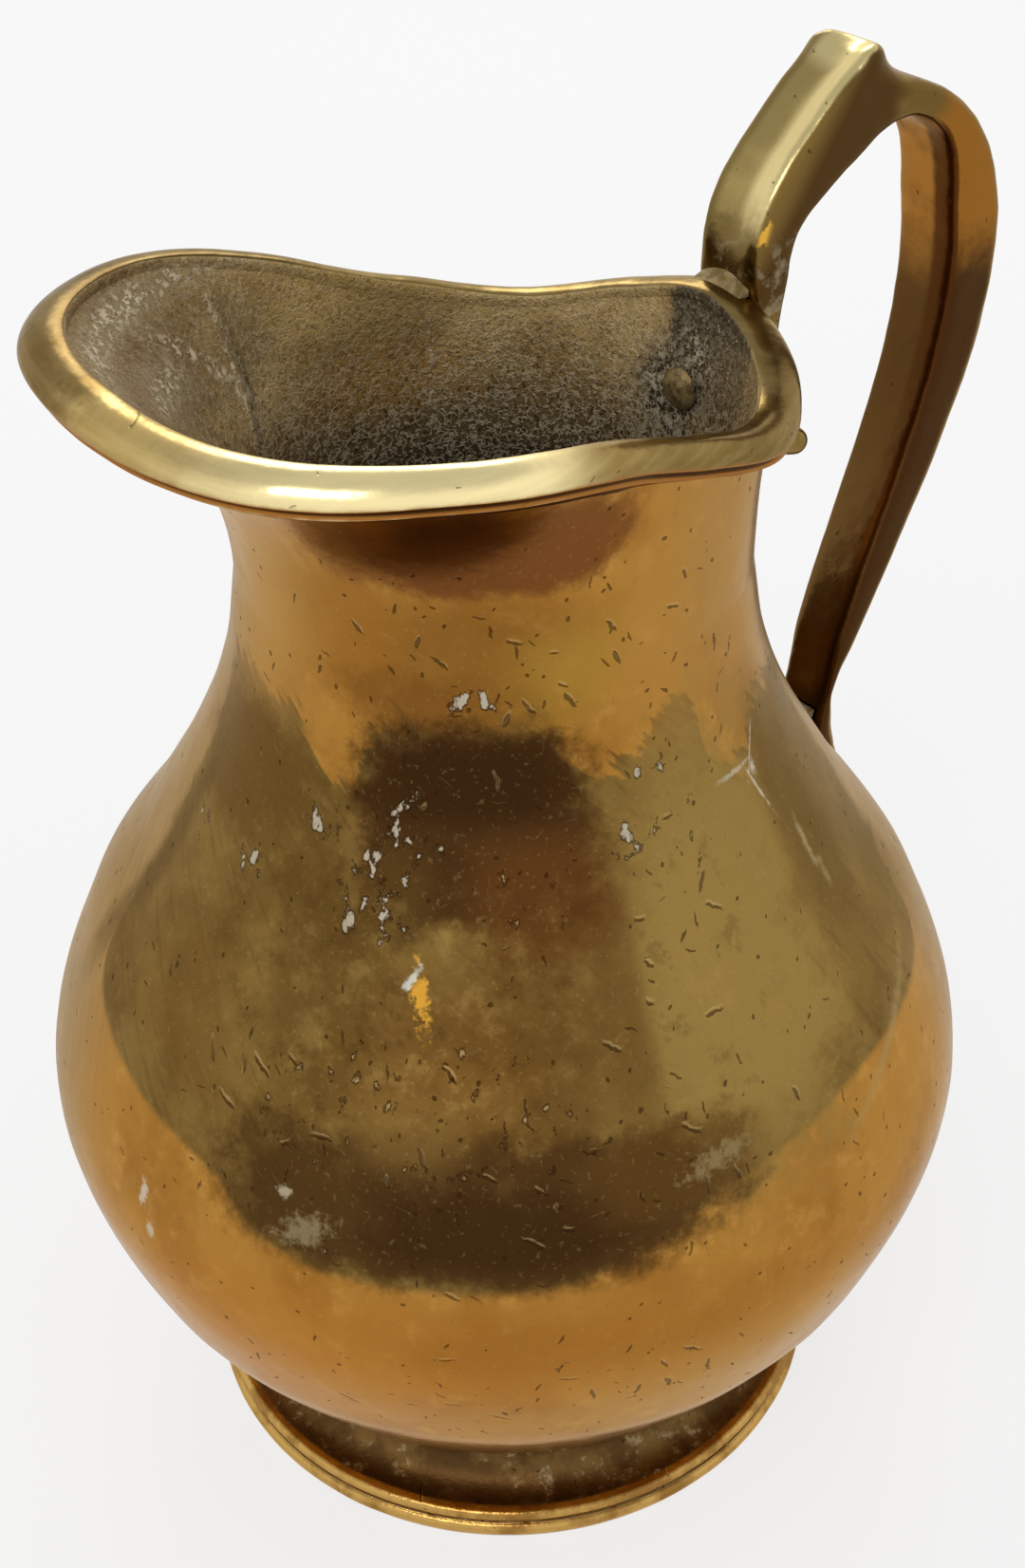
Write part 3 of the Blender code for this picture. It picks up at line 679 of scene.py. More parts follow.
def lay_over(ground, colour, mask):
    """Lay a colour over the ground through a mask."""
    mixed = add_node(tree_of(ground, colour, mask), "ShaderNodeMix", {"Factor": mask},
                     data_type="RGBA")
    for key, value in ((6, ground), (7, colour)):
        mixed[key] = value if isinstance(value, Link) else (*tone(*value), 1.0)
    return mixed[2]


def noise(point, scale, detail=2.0, roughness=0.5):
    return add_node(point.tree, "ShaderNodeTexNoise", {
        "Vector": point, "Scale": scale, "Detail": detail, "Roughness": roughness})["Fac"]


def bump(shader, height, distance):
    raised = add_node(shader.tree, "ShaderNodeBump", {"Height": height, "Distance": distance})
    shader["Normal"] = raised["Normal"]


def patch(spot, torn, at, up, wide, high, lean=0.0, soft=0.6, ragged=0.8, corners=2.6):
    return placed_group(TARNISH_AND_LIGHT_PATCH, {"Turn": spot["Turn"], "Height": spot["Height"],
        "Noise": torn, "At Turn": at, "At Height": up, "Half Turn": wide, "Half Height": high,
        "Lean": lean, "Softness": soft, "Raggedness": ragged, "Corners": corners})["Mask"]


def any_of(spot, torn, places, soft=0.6):
    """One mask for several places."""
    found = 0.0
    for place in places:
        found = highest(patch(spot, torn, *place, soft=soft), found)
    return found


def lay_patches(colour, spot, torn, patches):
    """Lay a table of patches over a colour, each through its own mask."""
    for at, up, wide, high, lean, soft, ragged, tint, strength, *corners in patches:
        mask = patch(spot, torn, at, up, wide, high, lean, soft, ragged, *corners)
        colour = lay_over(colour, tint, mask * strength)
    return colour


def marks(skin, spacing, share, length, width, lean=0.0, scatter=3.0):
    return placed_group(MARKS_ON_SKIN, {"Skin": skin, "Spacing": spacing, "Share": share,
        "Length": length, "Width": width, "Lean": lean, "Scatter": scatter})


GOLDEN = (175, 125, 54)
OLIVE = (131, 103, 52)
CHALK = (204, 194, 172)
GRIME = (58, 36, 16)
print("groups:", PLACE_ON_BOWL.name, TARNISH_AND_LIGHT_PATCH.name, MARKS_ON_SKIN.name)

# %% [markdown]
# The outside of the bowl is two metals in one. Below the belly and on the neck hands have kept it
# golden. The shoulder in between is olive: tarnish together with a painted reflection of the darker
# room overhead, darkest in the middle of the front, where a painted dark reflection lies over it,
# with a paler field to its right. The flanks, where the bowl turns away, are a dull tan, a painted
# grazing reflection. The olive field has an edge drawn through stations, as the profile has.
# Everything else is a patch in a table, laid one over another.


# %% Where the olive field of tarnish and painted reflection ends
def edge_curve(turn, points, low, high):
    """Height in mm of a wandering edge, drawn through (turn, height) points."""
    share = add_node(turn.tree, "ShaderNodeMapRange", {
        "Value": turn, "From Min": -180.0, "From Max": 180.0})["Result"]
    curve = add_node(turn.tree, "ShaderNodeFloatCurve", {"Value": share})
    mapping = curve.node.mapping
    line = mapping.curves[0]
    line.points[0].location = (0.0, (points[0][1] - low) / (high - low))
    line.points[1].location = (1.0, (points[-1][1] - low) / (high - low))
    for at, height in points[1:-1]:
        line.points.new((at + 180.0) / 360.0, (height - low) / (high - low))
    mapping.update()
    return curve["Value"] * (high - low) + low


OLIVE_FOOT = ((-180, 78), (-140, 84), (-100, 96), (-77, 92), (-72, 82), (-62, 77), (-53, 75),
              (-38, 72), (-27, 66.5), (-17, 65.5), (2, 66), (15, 69.5), (22, 72), (35, 74.5),
              (53, 76.5), (67, 77), (77, 80.5), (86, 88), (110, 84), (150, 76), (180, 78))
OLIVE_HEAD = ((-180, 114), (-110, 110), (-78, 119), (-67, 122.5), (-56, 120), (-47, 120.5),
              (-39, 115.5), (-32, 114.5), (-28, 118), (-24, 122.5), (-7, 123.5), (5, 123.5),
              (11, 119.5), (18, 117), (27, 117.5), (36, 121.5), (41, 122), (45, 112.5), (52, 110.5),
              (59, 114.5), (66, 116), (78, 116), (110, 108), (180, 114))
print("the olive field's edge has", len(OLIVE_FOOT) + len(OLIVE_HEAD), "stations")

# %% [markdown]
# The tables read like a restorer's notes: place, half size, lean, how soft and how torn the edge is,
# the colour as seen, and how much it covers. Some stain rows are painted shade and painted
# reflections. Fresh scratches, the bright spot with a painted glint beside it, and two painted
# highlight marks come last, because they cut through everything else.

# %% Tables of patches on the outside
# turn, height, half turn, half height, lean, softness, raggedness, colour, strength, corners
STAINS_AND_PAINTED_LIGHT = (
    (-4, 55, 38, 7, 0, 0.8, 0.8, (186, 120, 44), 0.55),
    (8, 58, 26, 6, 0, 0.7, 1.2, (150, 100, 40), 0.5),
    (-30, 44, 18, 8, 0, 0.8, 1.2, (184, 118, 48), 0.45),
    (28, 44, 20, 9, 0, 0.8, 1.2, (182, 138, 66), 0.5),
    # painted shade just above the foot
    (0, 16, 75, 7, 0, 0.9, 0.8, (142, 100, 48), 0.6),
    (-6, 131, 24, 8, 0, 0.6, 0.9, (136, 92, 36), 0.85),
    (-34, 134, 13, 9, 0, 0.6, 0.9, (152, 102, 38), 0.7),
    (15, 129, 12, 5.5, 0.8, 0.8, 1.8, (176, 138, 56), 0.55),
    (-14, 126, 20, 3, 0, 0.6, 1.8, (118, 76, 30), 0.6),
    (34, 133, 10, 14, 0, 0.7, 0.7, (178, 130, 60), 0.6),
    (-60, 138, 16, 18, 0, 0.8, 0.5, (178, 136, 74), 0.8),
    (62, 136, 18, 18, 0, 0.8, 0.5, (170, 130, 74), 0.8),
    # the next two rows: the band's painted shadow and reflection on the neck under it
    (-4, 147.0, 31, 6.6, 0.3, 0.22, 1.0, (140, 92, 42), 0.90, 4.0),
    (1, 145.6, 24, 5.6, 0.3, 0.20, 0.9, (118, 72, 33), 0.92, 4.0),
    (-57, 111, 18, 7.5, 0, 0.35, 1.2, (104, 75, 34), 0.9),
    (-29, 98, 9, 15, 0, 0.45, 1.2, (98, 72, 32), 0.75),
    (-50, 86, 9, 8, -0.6, 0.6, 1.0, (112, 82, 38), 0.6),
    (-4, 88, 17, 8.5, 0, 0.6, 1.1, (104, 73, 32), 0.85),
    (37, 95, 17.0, 21.5, 0.25, 0.40, 1.5, (151, 123, 65), 0.92, 3.0),
    (17, 97, 3.5, 17, 0, 0.5, 1.0, (108, 78, 36), 0.7),
    (64, 101, 7, 15, 0, 0.5, 0.8, (108, 82, 40), 0.75),
    (80, 96, 7, 16, 0, 0.5, 0.8, (116, 92, 46), 0.7),
    (-73, 93, 3, 14, 0.2, 0.6, 0.8, (96, 70, 32), 0.7),
    # the next two rows: a painted dark reflection over the tarnish, in the middle of the front
    (-6, 112.5, 22.5, 10.8, 0, 0.20, 0.9, (68, 43, 20), 0.95, 3.8),
    (-6, 117, 17, 4.5, 0, 0.45, 0.6, (56, 35, 16), 0.8, 4.0),
    (7, 104.5, 12, 6.5, 0, 0.45, 1.0, (97, 60, 26), 0.85),
    (-20, 104, 7, 5, 0, 0.5, 1.3, (92, 66, 30), 0.7),
    # the next two rows: a painted dark reflection over the tarnish, lower on the front
    (-5, 74.0, 31, 8, 0.2, 0.20, 0.8, (78, 53, 25), 0.95, 3.0),
    (-2, 72.5, 15, 4.8, 0.2, 0.4, 0.9, (62, 40, 19), 0.85),
    (20, 77, 11, 4.5, 0, 0.4, 1.1, (94, 65, 29), 0.8),
    (-13, 82, 6, 3, 0, 0.6, 1.4, (128, 98, 48), 0.6),
    (145, 96, 26, 14, 0, 0.5, 1.2, (92, 66, 30), 0.85),
    (-132, 92, 24, 13, 0, 0.5, 1.2, (98, 72, 33), 0.85),
    (148, 128, 18, 9, 0, 0.5, 1.2, (110, 72, 30), 0.7),
    (124, 58, 26, 9, 0, 0.6, 1.1, (140, 98, 44), 0.7),
)
SCRATCHES_AND_HIGHLIGHTS = (
    (-13.0, 94.6, 1.1, 2.4, -0.3, 0.5, 4.0, (214, 158, 56), 0.95),
    # a painted glint beside the bright spot
    (-14.6, 96.6, 0.7, 1.1, 0.9, 0.5, 3.0, (206, 208, 196), 0.8),
    (55.7, 106.8, 0.30, 2.6, -0.55, 0.7, 3.0, CHALK, 0.75),
    (57.2, 111.2, 0.30, 2.1, 1.3, 0.7, 3.0, CHALK, 0.7),
    (50.6, 110.4, 4.0, 0.26, 0, 0.7, 3.0, CHALK, 0.6),
    (56.3, 109.3, 0.7, 0.7, 0, 0.6, 3.0, CHALK, 0.8),
    # the next two rows: painted highlight marks
    (62.0, 98.0, 0.6, 2.2, 0.1, 0.8, 3.0, (176, 158, 116), 0.6),
    (63.0, 94.0, 0.6, 1.4, 0.1, 0.8, 3.0, (168, 146, 98), 0.5),
    (58.0, 76.0, 1.4, 4.5, 2.2, 0.9, 3.0, (168, 142, 92), 0.5),
    (-48.0, 64.0, 0.5, 1.5, 0, 0.6, 4.0, CHALK, 0.8),
    (-46.5, 59.5, 0.5, 1.0, 0, 0.6, 4.0, CHALK, 0.7),
    (-24.5, 70.0, 2.2, 1.6, 0.6, 0.7, 4.5, (150, 134, 98), 0.7),
    (-27.5, 73.5, 0.8, 0.6, 0, 0.6, 4.0, (206, 192, 158), 0.6),
    (25.5, 76.5, 3.2, 1.2, 1.2, 0.7, 4.5, (146, 126, 84), 0.7),
)
print(len(STAINS_AND_PAINTED_LIGHT), "stains and", len(SCRATCHES_AND_HIGHLIGHTS), "scratches")

# %% [markdown]
# Where sand lay in the mould, blobs and crumbs of pale scale are left, thickest left of the dark
# patch in the middle of the front, and they are painted partly as the glints that the scale throws.
# They are the highest peaks of a noise, with a dark rim where it is a little lower. Three kinds of
# mark share the skin with them: hairlines, dark nicks and small round pits, and each is asked for
# more often in the places where the jug shows it.

# %% The polished and tarnished outside of the bowl, with its painted reflections
# turn, height, half turn, half height: where the pale scale and its painted glints lie
SCALE_PLACES = ((-22, 105.5, 9, 7), (-17, 111, 8, 4.5), (-35, 110, 6, 3), (-49, 103, 5, 3),
                (-65, 101.5, 4, 2.5), (-4, 126.3, 7, 2.2), (24, 109, 7, 3), (30, 115, 6, 2.5))
CRUMB_PLACES = ((-12, 84, 26, 9), (-22, 70, 12, 4), (6, 104, 16, 6), (34, 108, 14, 6))
NICK_PLACES = ((5, 128, 42, 11), (-8, 79, 40, 9), (6, 50, 26, 7), (28, 96, 8, 12))


def polished_brass():
    metal, shader, point = new_metal("polished_and_tarnished_brass", 0.22)
    spot = placed_group(PLACE_ON_BOWL, {"Point": point})
    turn, height, skin = spot["Turn"], spot["Height"], spot["Skin"]
    cloud = noise(point, 60.0, 4.0, 0.6)
    torn = noise(point, 230.0, 5.0, 0.66)
    wiped = add_node(point.tree, "ShaderNodeVectorRotate", {"Vector": skin, "Angle": 0.75},
        rotation_type="Z_AXIS")["Vector"]
    wiped = noise(wiped * (0.10, 0.75, 1.0), 1.0, 3.0, 0.6)
    brushed = noise(skin * (0.9, 0.07, 1.0), 1.0, 4.0, 0.6)
    # The flat skin has its seam at the back, so strokes along it give way to the cloud there
    before_seam = ramp(abs(turn), 150.0, 174.0, 1.0, 0.0)
    wiped = (wiped - cloud) * before_seam + cloud
    brushed = (brushed - cloud) * before_seam + cloud

    colour = lay_over(GOLDEN, (157, 106, 42), ramp(cloud, 0.42, 0.66))
    colour = lay_over(colour, (198, 150, 76), ramp(torn, 0.50, 0.74) * 0.55)
    # the flanks: a painted tan grazing reflection where the bowl turns away
    flank = ramp(abs(turn - 5.0), 58.0, 84.0) * ramp(height, 30.0, 56.0)
    flank = flank * ramp(cloud * 90.0 + abs(turn), 140.0, 200.0, 0.88, 0.30)
    tan = lay_over((142, 113, 66), (168, 137, 87), ramp(brushed * 0.5 + cloud * 0.5, 0.34, 0.70))
    colour = lay_over(colour, tan, flank)

    wobble = (torn - 0.5) * 9.0
    stroke = (wiped - 0.5) * 15.0
    foot = edge_curve(turn, OLIVE_FOOT, 60.0, 100.0) + wobble * 0.10
    head = edge_curve(turn, OLIVE_HEAD, 100.0, 125.0) + (wobble + stroke)
    above = ramp(height - foot, -0.7, 0.7)
    below = ramp(head - height, -0.8, 0.8)
    beside = abs(turn - 6.0) + (wobble * 0.6 + (cloud - 0.5) * 16.0)
    beside = ramp(beside, 79.6, 83.6, 1.0, 0.0)
    at_back = ramp(cloud * 120.0 + abs(turn), 175.0, 190.0)
    # the olive field: tarnish with a painted reflection of the darker room overhead
    field = above * below * highest(beside, at_back)
    olive = lay_over(OLIVE, (108, 81, 38), ramp(cloud, 0.40, 0.62))
    olive = lay_over(olive, (142, 114, 60), ramp(torn, 0.52, 0.72) * 0.45)
    olive = lay_over(olive, (92, 66, 30), ramp(wiped, 0.50, 0.66) * 0.35)
    colour = lay_over(colour, olive, field)
    colour = lay_patches(colour, spot, torn, STAINS_AND_PAINTED_LIGHT)
    mottled = any_of(spot, torn, ((-14, 93, 30, 12), (30, 96, 10, 14)), 0.9)
    colour = lay_over(colour, (166, 136, 74), mottled * ramp(torn, 0.50, 0.72) * 0.36)
    colour = lay_over(colour, (70, 48, 22), mottled * ramp(torn, 0.46, 0.36) * 0.35)

    glitter = any_of(spot, torn, SCALE_PLACES)
    nicked = any_of(spot, torn, NICK_PLACES, 0.9)
    crumbled = any_of(spot, torn, CRUMB_PLACES)
    peaks = noise(point * (1.0, 1.0, 0.6), 580.0, 3.0, 0.6)
    peaks = (cloud - 0.5) * 0.35 + peaks - (0.88 - highest(glitter, crumbled * 0.60)) * 0.3
    # pale scale, painted partly as glints; the rims just below them are dark
    crumbs_and_glints = ramp(peaks, 0.580, 0.650)
    crumb_rims = ramp(peaks, 0.530, 0.590)
    # spacing, share, length, width, lean, scatter; each kind of mark has its own part of the skin
    nicks = marks(skin, 2.6, nicked * 0.30 + 0.03, 0.80, 0.13, 0.9, 2.6)
    gashes = marks(skin + (13.0, 71.0, 0.0), 4.6, nicked * 0.5, 1.3, 0.24, 0.9, 2.2)
    hairs = marks(skin + (37.0, 11.0, 0.0), 2.0, 0.12, 0.90, 0.05, 0.7)
    pits = marks(skin + (91.0, 57.0, 0.0), 2.2, 0.13, 0.26, 0.22)
    dark_marks = highest(nicks["Mask"], pits["Mask"], gashes["Mask"])
    # painted glints on the burrs beside the gashes and hairlines
    colour = lay_over(colour, (203, 174, 118), highest(gashes["Burr"] * 0.28, hairs["Burr"] * 0.14))
    colour = lay_over(colour, GRIME, hairs["Mask"] * 0.30)
    colour = lay_over(colour, GRIME, dark_marks * 0.62)
    colour = lay_over(colour, GRIME, crumb_rims * 0.75)
    colour = lay_over(colour, lay_over((170, 146, 100), CHALK, glitter), crumbs_and_glints * 0.8)
    colour = lay_patches(colour, spot, noise(point, 1000.0, 3.0, 0.7), SCRATCHES_AND_HIGHLIGHTS)
    speck = ramp(noise(point, 1500.0, 2.0, 0.6), 0.60, 0.72)
    colour = lay_over(colour, (190, 158, 100), speck * 0.13)
    shader["Base Color"] = colour
    rough = field * 0.07 + 0.19 + flank * 0.10 + highest(dark_marks, crumbs_and_glints) * 0.25
    shader["Roughness"] = noise(point, 420.0, 3.0) * 0.10 + rough
    lumps = noise(point, 210.0, 2.0) * (glitter + 0.45) * 0.9 + noise(point, 700.0, 3.0) * 0.12
    bump(shader, crumb_rims * 0.7 + (lumps - dark_marks * 0.6), 0.00018)
    return metal


POLISHED = polished_brass()
print("nodes in the outside's metal:", len(POLISHED.node_tree.nodes))

# %% [markdown]
# Nobody polishes the inside. It has the pebbled skin that the sand core left: olive brown where
# light still reaches, and painted shade makes it nearly black further down; it is dusted all over
# with pale grains. Two creases run down from the lip, where the metal was drawn out; they are
# painted in shade and light, a dark line with a pale one beside it, and the lip's floor has painted
# light on it. Chalky crust has gathered on the lip's floor, where it is broken into painted
# highlight streaks, and round the rivet. The light is weak in there, so the colours are written
# brighter than seen.

# %% The rough inside of the bowl
INSIDE_STAINS_AND_SHADING = (
    # turn, height, half turn, half height, lean, softness, raggedness, colour, strength
    (-82, 152, 40, 8, 0, 0.6, 1.4, (116, 88, 46), 0.85),
    # the next two rows: painted light on the lip's floor
    (-92, 157.0, 24, 1.6, -0.4, 0.8, 2.4, (162, 142, 104), 0.6),
    (-86, 150, 9, 3.4, 0.8, 0.8, 2.4, (158, 140, 106), 0.6),
    # a painted crease: a dark line of shade, with a pale line of light beside it in the next table
    (-112, 144.5, 1.5, 8.0, -0.25, 0.7, 1.8, (64, 50, 32), 0.7),
    (-118, 149, 6, 4.5, 0, 0.8, 2.6, (74, 58, 38), 0.7),
    (-150, 150, 30, 5, 0, 0.8, 1.4, (214, 182, 112), 0.5),
    (-160, 138, 22, 4, 0, 0.7, 1.2, (196, 152, 84), 0.5),
    (118, 146, 15, 9, 0.35, 0.10, 0.6, (56, 45, 31), 0.92),
    (98, 147, 6, 9, 0.35, 0.6, 0.6, (150, 122, 70), 0.5),
    (104, 141, 14, 6, 0, 0.6, 1.2, (140, 114, 72), 0.6),
    (131, 138, 9.0, 5.6, 0, 0.40, 1.2, (48, 38, 25), 0.92),
)
INSIDE_CHALK_AND_HIGHLIGHTS = (
    # turn, height, half turn, half height, lean
    # the first six rows, on the lip's floor, are chalk and painted highlight streaks
    (-92, 157.2, 24, 1.1, -0.4),
    (-104, 148.5, 1.7, 5.5, 1.3),
    (-107, 145.0, 1.4, 5.0, 1.1),
    (-100, 150.5, 1.5, 4.0, 1.6),
    (-84, 150.5, 9, 1.5, 1.4),
    (-110, 144.5, 0.9, 8.5, -0.25),
    (-166, 138, 0.9, 9, 0),
    (131, 138, 10.5, 6.2, 0),
    (123, 144, 5.0, 2.6, 0.8),
)


def core_skin():
    metal, shader, point = new_metal("rough_core_skin", 0.62, 0.35)
    spot = placed_group(PLACE_ON_BOWL, {"Point": point})
    cloud = noise(point, 85.0, 4.0, 0.6)
    torn = noise(point, 420.0, 4.0, 0.66)
    grains = noise(point, 1500.0, 3.0, 0.75)
    colour = lay_over((196, 168, 112), (152, 122, 70), ramp(cloud, 0.40, 0.62))
    depth = (cloud - 0.5) * 10.0 + spot["Height"]
    # darker further down: painted shade, nearly black deep in the bore
    colour = lay_over((116, 94, 60), colour, ramp(depth, 130.0, 141.0))
    colour = lay_over((44, 35, 24), colour, ramp(depth, 119.0, 133.0))
    colour = lay_patches(colour, spot, torn, INSIDE_STAINS_AND_SHADING)
    holes = ramp(grains, 0.47, 0.38) * ramp(depth, 146.0, 134.0, 0.42, 0.8)
    colour = lay_over(colour, (40, 31, 20), holes)
    crust = noise(point, 820.0, 2.0, 0.6)
    threads = ramp(abs(crust - 0.5), 0.060, 0.015) * ramp(depth, 150.0, 130.0, 0.16, 0.52)
    dust = highest(ramp(grains, 0.56, 0.68, 0.0, 0.5), threads)
    chalk_and_highlights = any_of(spot, torn, INSIDE_CHALK_AND_HIGHLIGHTS, 0.9)
    dust = highest(dust, chalk_and_highlights * ramp(noise(point, 1100.0, 3.0, 0.7), 0.48, 0.57) * 0.8)
    colour = lay_over(colour, (226, 212, 180), dust)
    shader["Base Color"] = colour
    bump(shader, grains + dust, 0.00028)
    return metal


CORE_SKIN = core_skin()
print("stains inside:", len(INSIDE_STAINS_AND_SHADING))

# %% [markdown]
# The bowl itself: the inner line is turned, the mouth drawn out of it, and Solidify gives the wall
# its two millimetres on the outside, as the CAD does. Solidify leaves the first slot on the side it
# grows towards and puts the second slot on the hollow side, so the core's skin goes there, and on
# the brim's narrow edge too.


# %% Build the bowl
GUIDE_RADIUS = 0.010
WORKED_LIKE_THE_BOWL = {"Swell": 0.00015, "Swell Length": 0.018, "Ripple": 0.00003,
                        "Ripple Length": 0.006, "Seed": 3.0, "Filed Off": 0.00014,
                        "First Slot": 1, "Metal": CORE_SKIN}


def section_object(name, points, closed, guide=0.0):
    """A section as an edge mesh: (radius, height) points, heights turned over."""
    made = new_piece(name)
    edges = [(i, i + 1) for i in range(len(points) - 1)]
    if closed:
        edges.append((len(points) - 1, 0))
    made.data.from_pydata([(out - guide, -up, 0.0) for out, up in points], edges, [])
    return made


def turned_piece(name, points, metal, closed=False):
    section = section_object(name + "_section", points, closed, GUIDE_RADIUS)
    piece = new_piece(name)
    add_tree(piece, TURNED, {"Section": section, "Guide Radius": GUIDE_RADIUS, "Metal": metal})
    return piece, section


NECK_ROWS = 40
inside = [tuple(point) for point in inner_line[:-1]]
inside += [(NECK_INSIDE, NECK_HEIGHT + (BRIM_HEIGHT - NECK_HEIGHT) * row / NECK_ROWS)
           for row in range(NECK_ROWS + 1)]
bowl, bowl_section = turned_piece("bowl", inside[::-1], POLISHED)
bowl.data.materials.append(POLISHED)
bowl.data.materials.append(CORE_SKIN)
add_tree(bowl, DRAWN_MOUTH, {"Mouth": mouth_line, "Metal": POLISHED})
wall = bowl.modifiers.new("wall", "SOLIDIFY")
wall.thickness = WALL
wall.offset = 1.0
wall.use_even_offset = True
wall.material_offset = 1
wall.material_offset_rim = 1
add_tree(bowl, HAND_WORKED, WORKED_LIKE_THE_BOWL)
make_plain(bowl)
bpy.data.objects.remove(bowl_section)
print("bowl slots:", [slot.name for slot in bowl.data.materials])
hand_in(bowl, "body_shell")

# %% [markdown]
# The rim band is the brightest part, because every cloth and every hand passes over it, and a
# painted highlight lies on its near middle. Its crest sits on the inner edge; from there it falls
# off outwards, ends in a rounded lip, and has a dark groove and a thin fillet roll underneath. Dirt
# stays in the groove, and painted shade darkens it and the band's underside, so the section notes
# both there and the metal reads that note. The lip's tip and the side by the handle are rubbed less
# and have gone olive.

# %% The rim band's brass
RIM_STAINS_AND_HIGHLIGHT = (
    # turn, height, half turn, half height, lean, softness, raggedness, colour, strength
    (-78, 158, 20, 12, 0, 0.35, 0.9, (96, 74, 38), 0.9),
    (-114, 159, 30, 12, 0, 0.5, 0.9, (62, 45, 20), 0.9),
    (-38, 158, 17, 12, 0, 0.5, 0.4, (190, 165, 106), 0.8),
    # painted highlight on the band's near middle
    (-9, 155, 24, 12, 0, 0.5, 0.3, (255, 237, 178), 0.97),
    (28, 150, 15, 12, 0, 0.5, 0.6, (142, 118, 64), 0.9),
    (50, 148, 20, 12, 0, 0.4, 0.6, (124, 102, 55), 0.9),
    (78, 148, 24, 12, 0, 0.4, 0.6, (112, 91, 48), 0.85),
    (116, 150, 40, 12, 0, 0.4, 0.9, (124, 103, 61), 0.9),
    (-168, 152, 40, 12, 0, 0.6, 0.9, (116, 97, 56), 0.85),
    (192, 152, 40, 12, 0, 0.6, 0.9, (116, 97, 56), 0.85),
)


def rim_brass():
    metal, shader, point = new_metal("rim_brass", 0.2)
    spot = placed_group(PLACE_ON_BOWL, {"Point": point})
    cloud = noise(point, 130.0, 4.0, 0.6)
    torn = noise(point, 300.0, 4.0, 0.62)
    colour = lay_over((198, 172, 110), (158, 130, 70), ramp(cloud, 0.42, 0.62))
    colour = lay_patches(colour, spot, torn, RIM_STAINS_AND_HIGHLIGHT)
    rubbed = noise(spot["Skin"] * (0.12, 1.3, 1.0), 1.0, 3.0)
    mottle = lay_over((120, 92, 46), (232, 206, 146), ramp(rubbed, 0.40, 0.62))
    colour = lay_over(colour, mottle, 0.08)
    nicks = marks(spot["Skin"] * (1.0, 1.0, 0.0), 2.2, 0.12, 0.4, 0.09, 0.0, 1.2)["Mask"]
    colour = lay_over(colour, GRIME, nicks * 0.5)
    dirt_and_shade = add_node(point.tree, "ShaderNodeAttribute", attribute_name="grime")["Fac"]
    # dirt and painted shade in the groove and on the band's underside
    under = lay_over((158, 104, 48), (62, 34, 12), ramp(dirt_and_shade, 0.45, 0.9))
    colour = lay_over(colour, under, ramp((torn - 0.5) * 0.3 + dirt_and_shade, 0.15, 0.45))
    shader["Base Color"] = colour
    shader["Roughness"] = torn * 0.16 + (dirt_and_shade * 0.2 + 0.15)
    bump(shader, noise(point, 400.0, 2.0) - nicks, 0.00007)
    return metal


RIM_BRASS = rim_brass()
print("stains on the rim:", len(RIM_STAINS_AND_HIGHLIGHT))

# %% Build the rim band
BAND_STATIONS = (
    # outwards from the inner edge, height over it, dirt and painted shade, part of the bore
    (0.00110, -0.00380, 0.0, 1.0),
    (0.00055, -0.00270, 0.0, 1.0),
    (0.00015, -0.00180, 0.0, 1.0),
    (-0.00008, -0.00110, 0.0, 1.0),
    (-0.00016, -0.00050, 0.0, 1.0),
    (-0.00014, 0.00000, 0.0, 1.0),
    (0.00000, 0.00030, 0.0, 1.0),
    (0.00040, 0.00056, 0.0, 0.0),
    (0.00120, 0.00072, 0.0, 0.0),
    (0.00250, 0.00074, 0.0, 0.0),
    (0.00380, 0.00036, 0.0, 0.0),
    (0.00468, -0.00034, 0.0, 0.0),
    (0.00512, -0.00112, 0.1, 0.0),
    (0.00515, -0.00174, 0.35, 0.0),
    (0.00472, -0.00220, 1.0, 0.0),
    (0.00434, -0.00238, 1.0, 0.0),
    (0.00440, -0.00266, 0.5, 0.0),
    (0.00450, -0.00296, 0.35, 0.0),
    (0.00420, -0.00328, 0.45, 0.0),
    (0.00350, -0.00356, 0.7, 0.0),
    (0.00270, -0.00400, 0.7, 0.0),
    (WALL * 0.9, -0.00470, 1.0, 0.0),
)
BAND_STEPS = 4
band_points = [tuple(point) for point in smooth_line(
    [(out, up) for out, up, _, _ in BAND_STATIONS], BAND_STEPS)]
band_section = section_object("band_section", band_points, True)
note(band_section.data, "grime", spread([row[2] for row in BAND_STATIONS], BAND_STEPS))
note(band_section.data, "core", spread([row[3] for row in BAND_STATIONS], BAND_STEPS))
rim_band = new_piece("rim_band_dressed")
rim_band.data.materials.append(RIM_BRASS)
rim_band.data.materials.append(CORE_SKIN)
add_tree(rim_band, MOULDING, {"Section": band_section, "Mouth": mouth_line, "Metal": RIM_BRASS,
                              "Inner Metal": CORE_SKIN})
add_tree(rim_band, HAND_WORKED, WORKED_LIKE_THE_BOWL)
make_plain(rim_band)
bpy.data.objects.remove(band_section)
print("band slots:", [slot.name for slot in rim_band.data.materials])
hand_in(rim_band, "rim_band")

# %% [markdown]
# The foot is a casting of its own: a hollow ring whose outside sweeps in and then out again to a
# double roll with a groove between. It is turned like the bowl. The hollow of the sweep, under the
# bowl, and the groove are dark brown from dirt and from painted shade, with some pale polish that
# dried there, and only the rolls are rubbed bright.

# %% The foot's brass
FOOT_BEAD = 0.0046
FOOT_WAIST_RADIUS = 0.0360
FOOT_WAIST_HEIGHT = 0.0095
FOOT_WALL = 0.0024
TREAD_SNAP = 0.0003      # what lies lower than this is pressed flat on the ground


